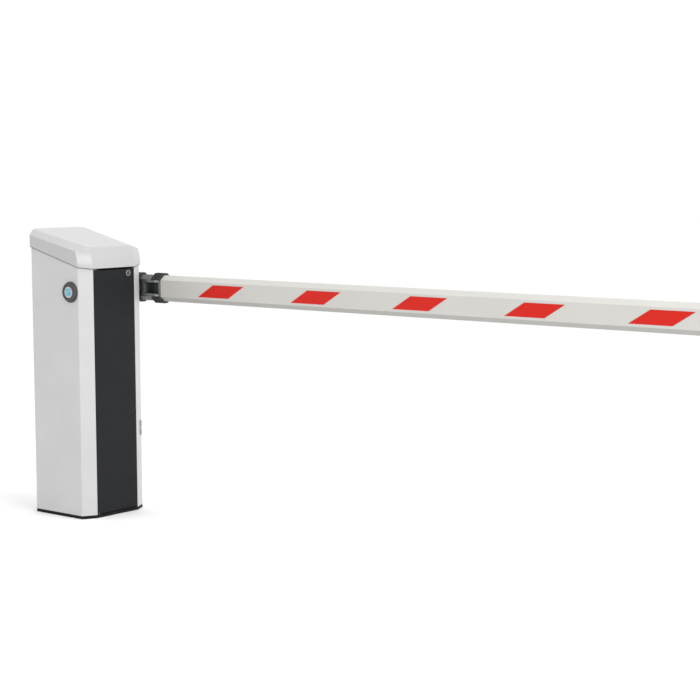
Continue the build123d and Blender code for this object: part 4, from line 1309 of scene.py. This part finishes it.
class BuildStage(bpy.types.Operator):
    """Lay the floor, hang the lights and set the camera"""

    bl_idname = "barrier.build_stage"
    bl_label = "Floor, Lights and Camera"

    def execute(self, context):
        stage = context.scene.barrier_stage
        self.lay_floor(context, stage)
        self.hang_lights(context, stage)
        self.set_camera(context, stage)
        return {"FINISHED"}

    def lay_floor(self, context, stage):
        half = stage.floor_size / 2
        surface = bmesh.new()
        signs = ((-1, -1), (1, -1), (1, 1), (-1, 1))
        surface.faces.new([surface.verts.new((x * half, y * half, 0)) for x, y in signs])
        mesh = bpy.data.meshes.new("floor")
        surface.to_mesh(mesh)
        surface.free()
        mesh.materials.append(coated_floor("floor_coat", stage.floor_colour))
        floor = bpy.data.objects.new("floor", mesh)
        floor.location.z = CAD_BOX[0].z - 0.0002
        context.scene.collection.objects.link(floor)

    def hang_lights(self, context, stage):
        world = context.scene.world or bpy.data.worlds.new("studio")
        context.scene.world = world
        world.use_nodes = True
        background = world.node_tree.nodes["Background"]
        background.inputs["Color"].default_value = (1.0, 1.0, 1.0, 1.0)
        background.inputs["Strength"].default_value = stage.sky_strength
        target = Vector((0.2, 0, 0.6))
        self.add_light(context, "key_light", Vector((4.8, -0.9, 2.4)), target, 3.0, stage.key_power)
        self.add_light(context, "top_light", Vector((1.5, 0.5, 3.9)), target, 0.8, stage.top_power)

    def add_light(self, context, name, place, target, size, power):
        lamp = bpy.data.lights.new(name, "AREA")
        lamp.shape = "RECTANGLE"
        lamp.size = size
        lamp.size_y = size * 0.7
        lamp.energy = power
        light = bpy.data.objects.new(name, lamp)
        light.location = place
        light.rotation_mode = "QUATERNION"
        light.rotation_quaternion = (target - place).to_track_quat("-Z", "Y")
        context.scene.collection.objects.link(light)

    def set_camera(self, context, stage):
        turn = stage.camera_turn
        dip = stage.camera_dip
        outward = Vector((-math.sin(turn), math.cos(turn), 0))
        ahead = outward * math.cos(dip) - Z_AXIS * math.sin(dip)
        level = Vector((math.cos(turn), math.sin(turn), 0))
        upright = level.cross(ahead)
        right = level * math.cos(stage.camera_roll) + upright * math.sin(stage.camera_roll)
        up = upright * math.cos(stage.camera_roll) - level * math.sin(stage.camera_roll)
        lens = bpy.data.cameras.new("camera")
        lens.lens = stage.camera_lens
        lens.sensor_width = 36.0
        lens.clip_end = 200.0
        camera = bpy.data.objects.new("camera", lens)
        facing = Matrix((right, up, -ahead)).transposed().to_4x4()
        camera.matrix_world = Matrix.Translation(stage.camera_place) @ facing
        context.scene.collection.objects.link(camera)
        context.scene.camera = camera
        context.scene.view_settings.view_transform = "Standard"


# ---------------------------------------------------------------- panel and start


class BarrierPanel(bpy.types.Panel):
    """Lists the pieces of the barrier gate and the settings of their finish"""

    bl_idname = "VIEW3D_PT_barrier"
    bl_label = "Parking Barrier Gate"
    bl_space_type = "VIEW_3D"
    bl_region_type = "UI"
    bl_category = "Barrier"

    def draw(self, context):
        column = self.layout.column(align=True)
        for operator in OPERATORS:
            column.operator(operator.bl_idname)
        for group in ("barrier_sizes", "barrier_colours", "barrier_stage"):
            settings = getattr(context.scene, group)
            box = self.layout.box()
            for name in settings.__annotations__:
                box.prop(settings, name)


SETTINGS = {
    "barrier_sizes": BarrierSizes,
    "barrier_colours": BarrierColours,
    "barrier_stage": BarrierStage,
}
OPERATORS = (
    DressCabinet,
    DressHood,
    DressDoor,
    DressLock,
    BuildBlankingCap,
    DressFlange,
    DressBoom,
    DressFrame,
    DressDrive,
    DressGearmotor,
    BuildBalance,
    BuildControls,
    BuildStage,
)


def register():
    """Register the settings, the operators and the panel."""
    for cls in (*SETTINGS.values(), *OPERATORS, BarrierPanel):
        bpy.utils.register_class(cls)
    for name, group in SETTINGS.items():
        setattr(bpy.types.Scene, name, PointerProperty(type=group))


def unregister():
    """Take everything back out."""
    for name in SETTINGS:
        delattr(bpy.types.Scene, name)
    for cls in (BarrierPanel, *reversed(OPERATORS), *reversed(SETTINGS.values())):
        bpy.utils.unregister_class(cls)


def clear_start_scene():
    """Remove what a new scene holds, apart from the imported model."""
    for thing in list(bpy.data.objects):
        if "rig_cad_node" not in thing and thing.type in ("MESH", "LIGHT", "CAMERA"):
            bpy.data.objects.remove(thing)


def main():
    """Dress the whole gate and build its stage."""
    register()
    clear_start_scene()
    bpy.ops.barrier.dress_cabinet()
    bpy.ops.barrier.dress_hood()
    bpy.ops.barrier.dress_door()
    bpy.ops.barrier.dress_lock()
    bpy.ops.barrier.build_blanking_cap()
    bpy.ops.barrier.dress_flange()
    bpy.ops.barrier.dress_boom()
    bpy.ops.barrier.dress_frame()
    bpy.ops.barrier.dress_drive()
    bpy.ops.barrier.dress_gearmotor()
    bpy.ops.barrier.build_balance()
    bpy.ops.barrier.build_controls()
    bpy.ops.barrier.build_stage()


if __name__ == "__main__":
    main()
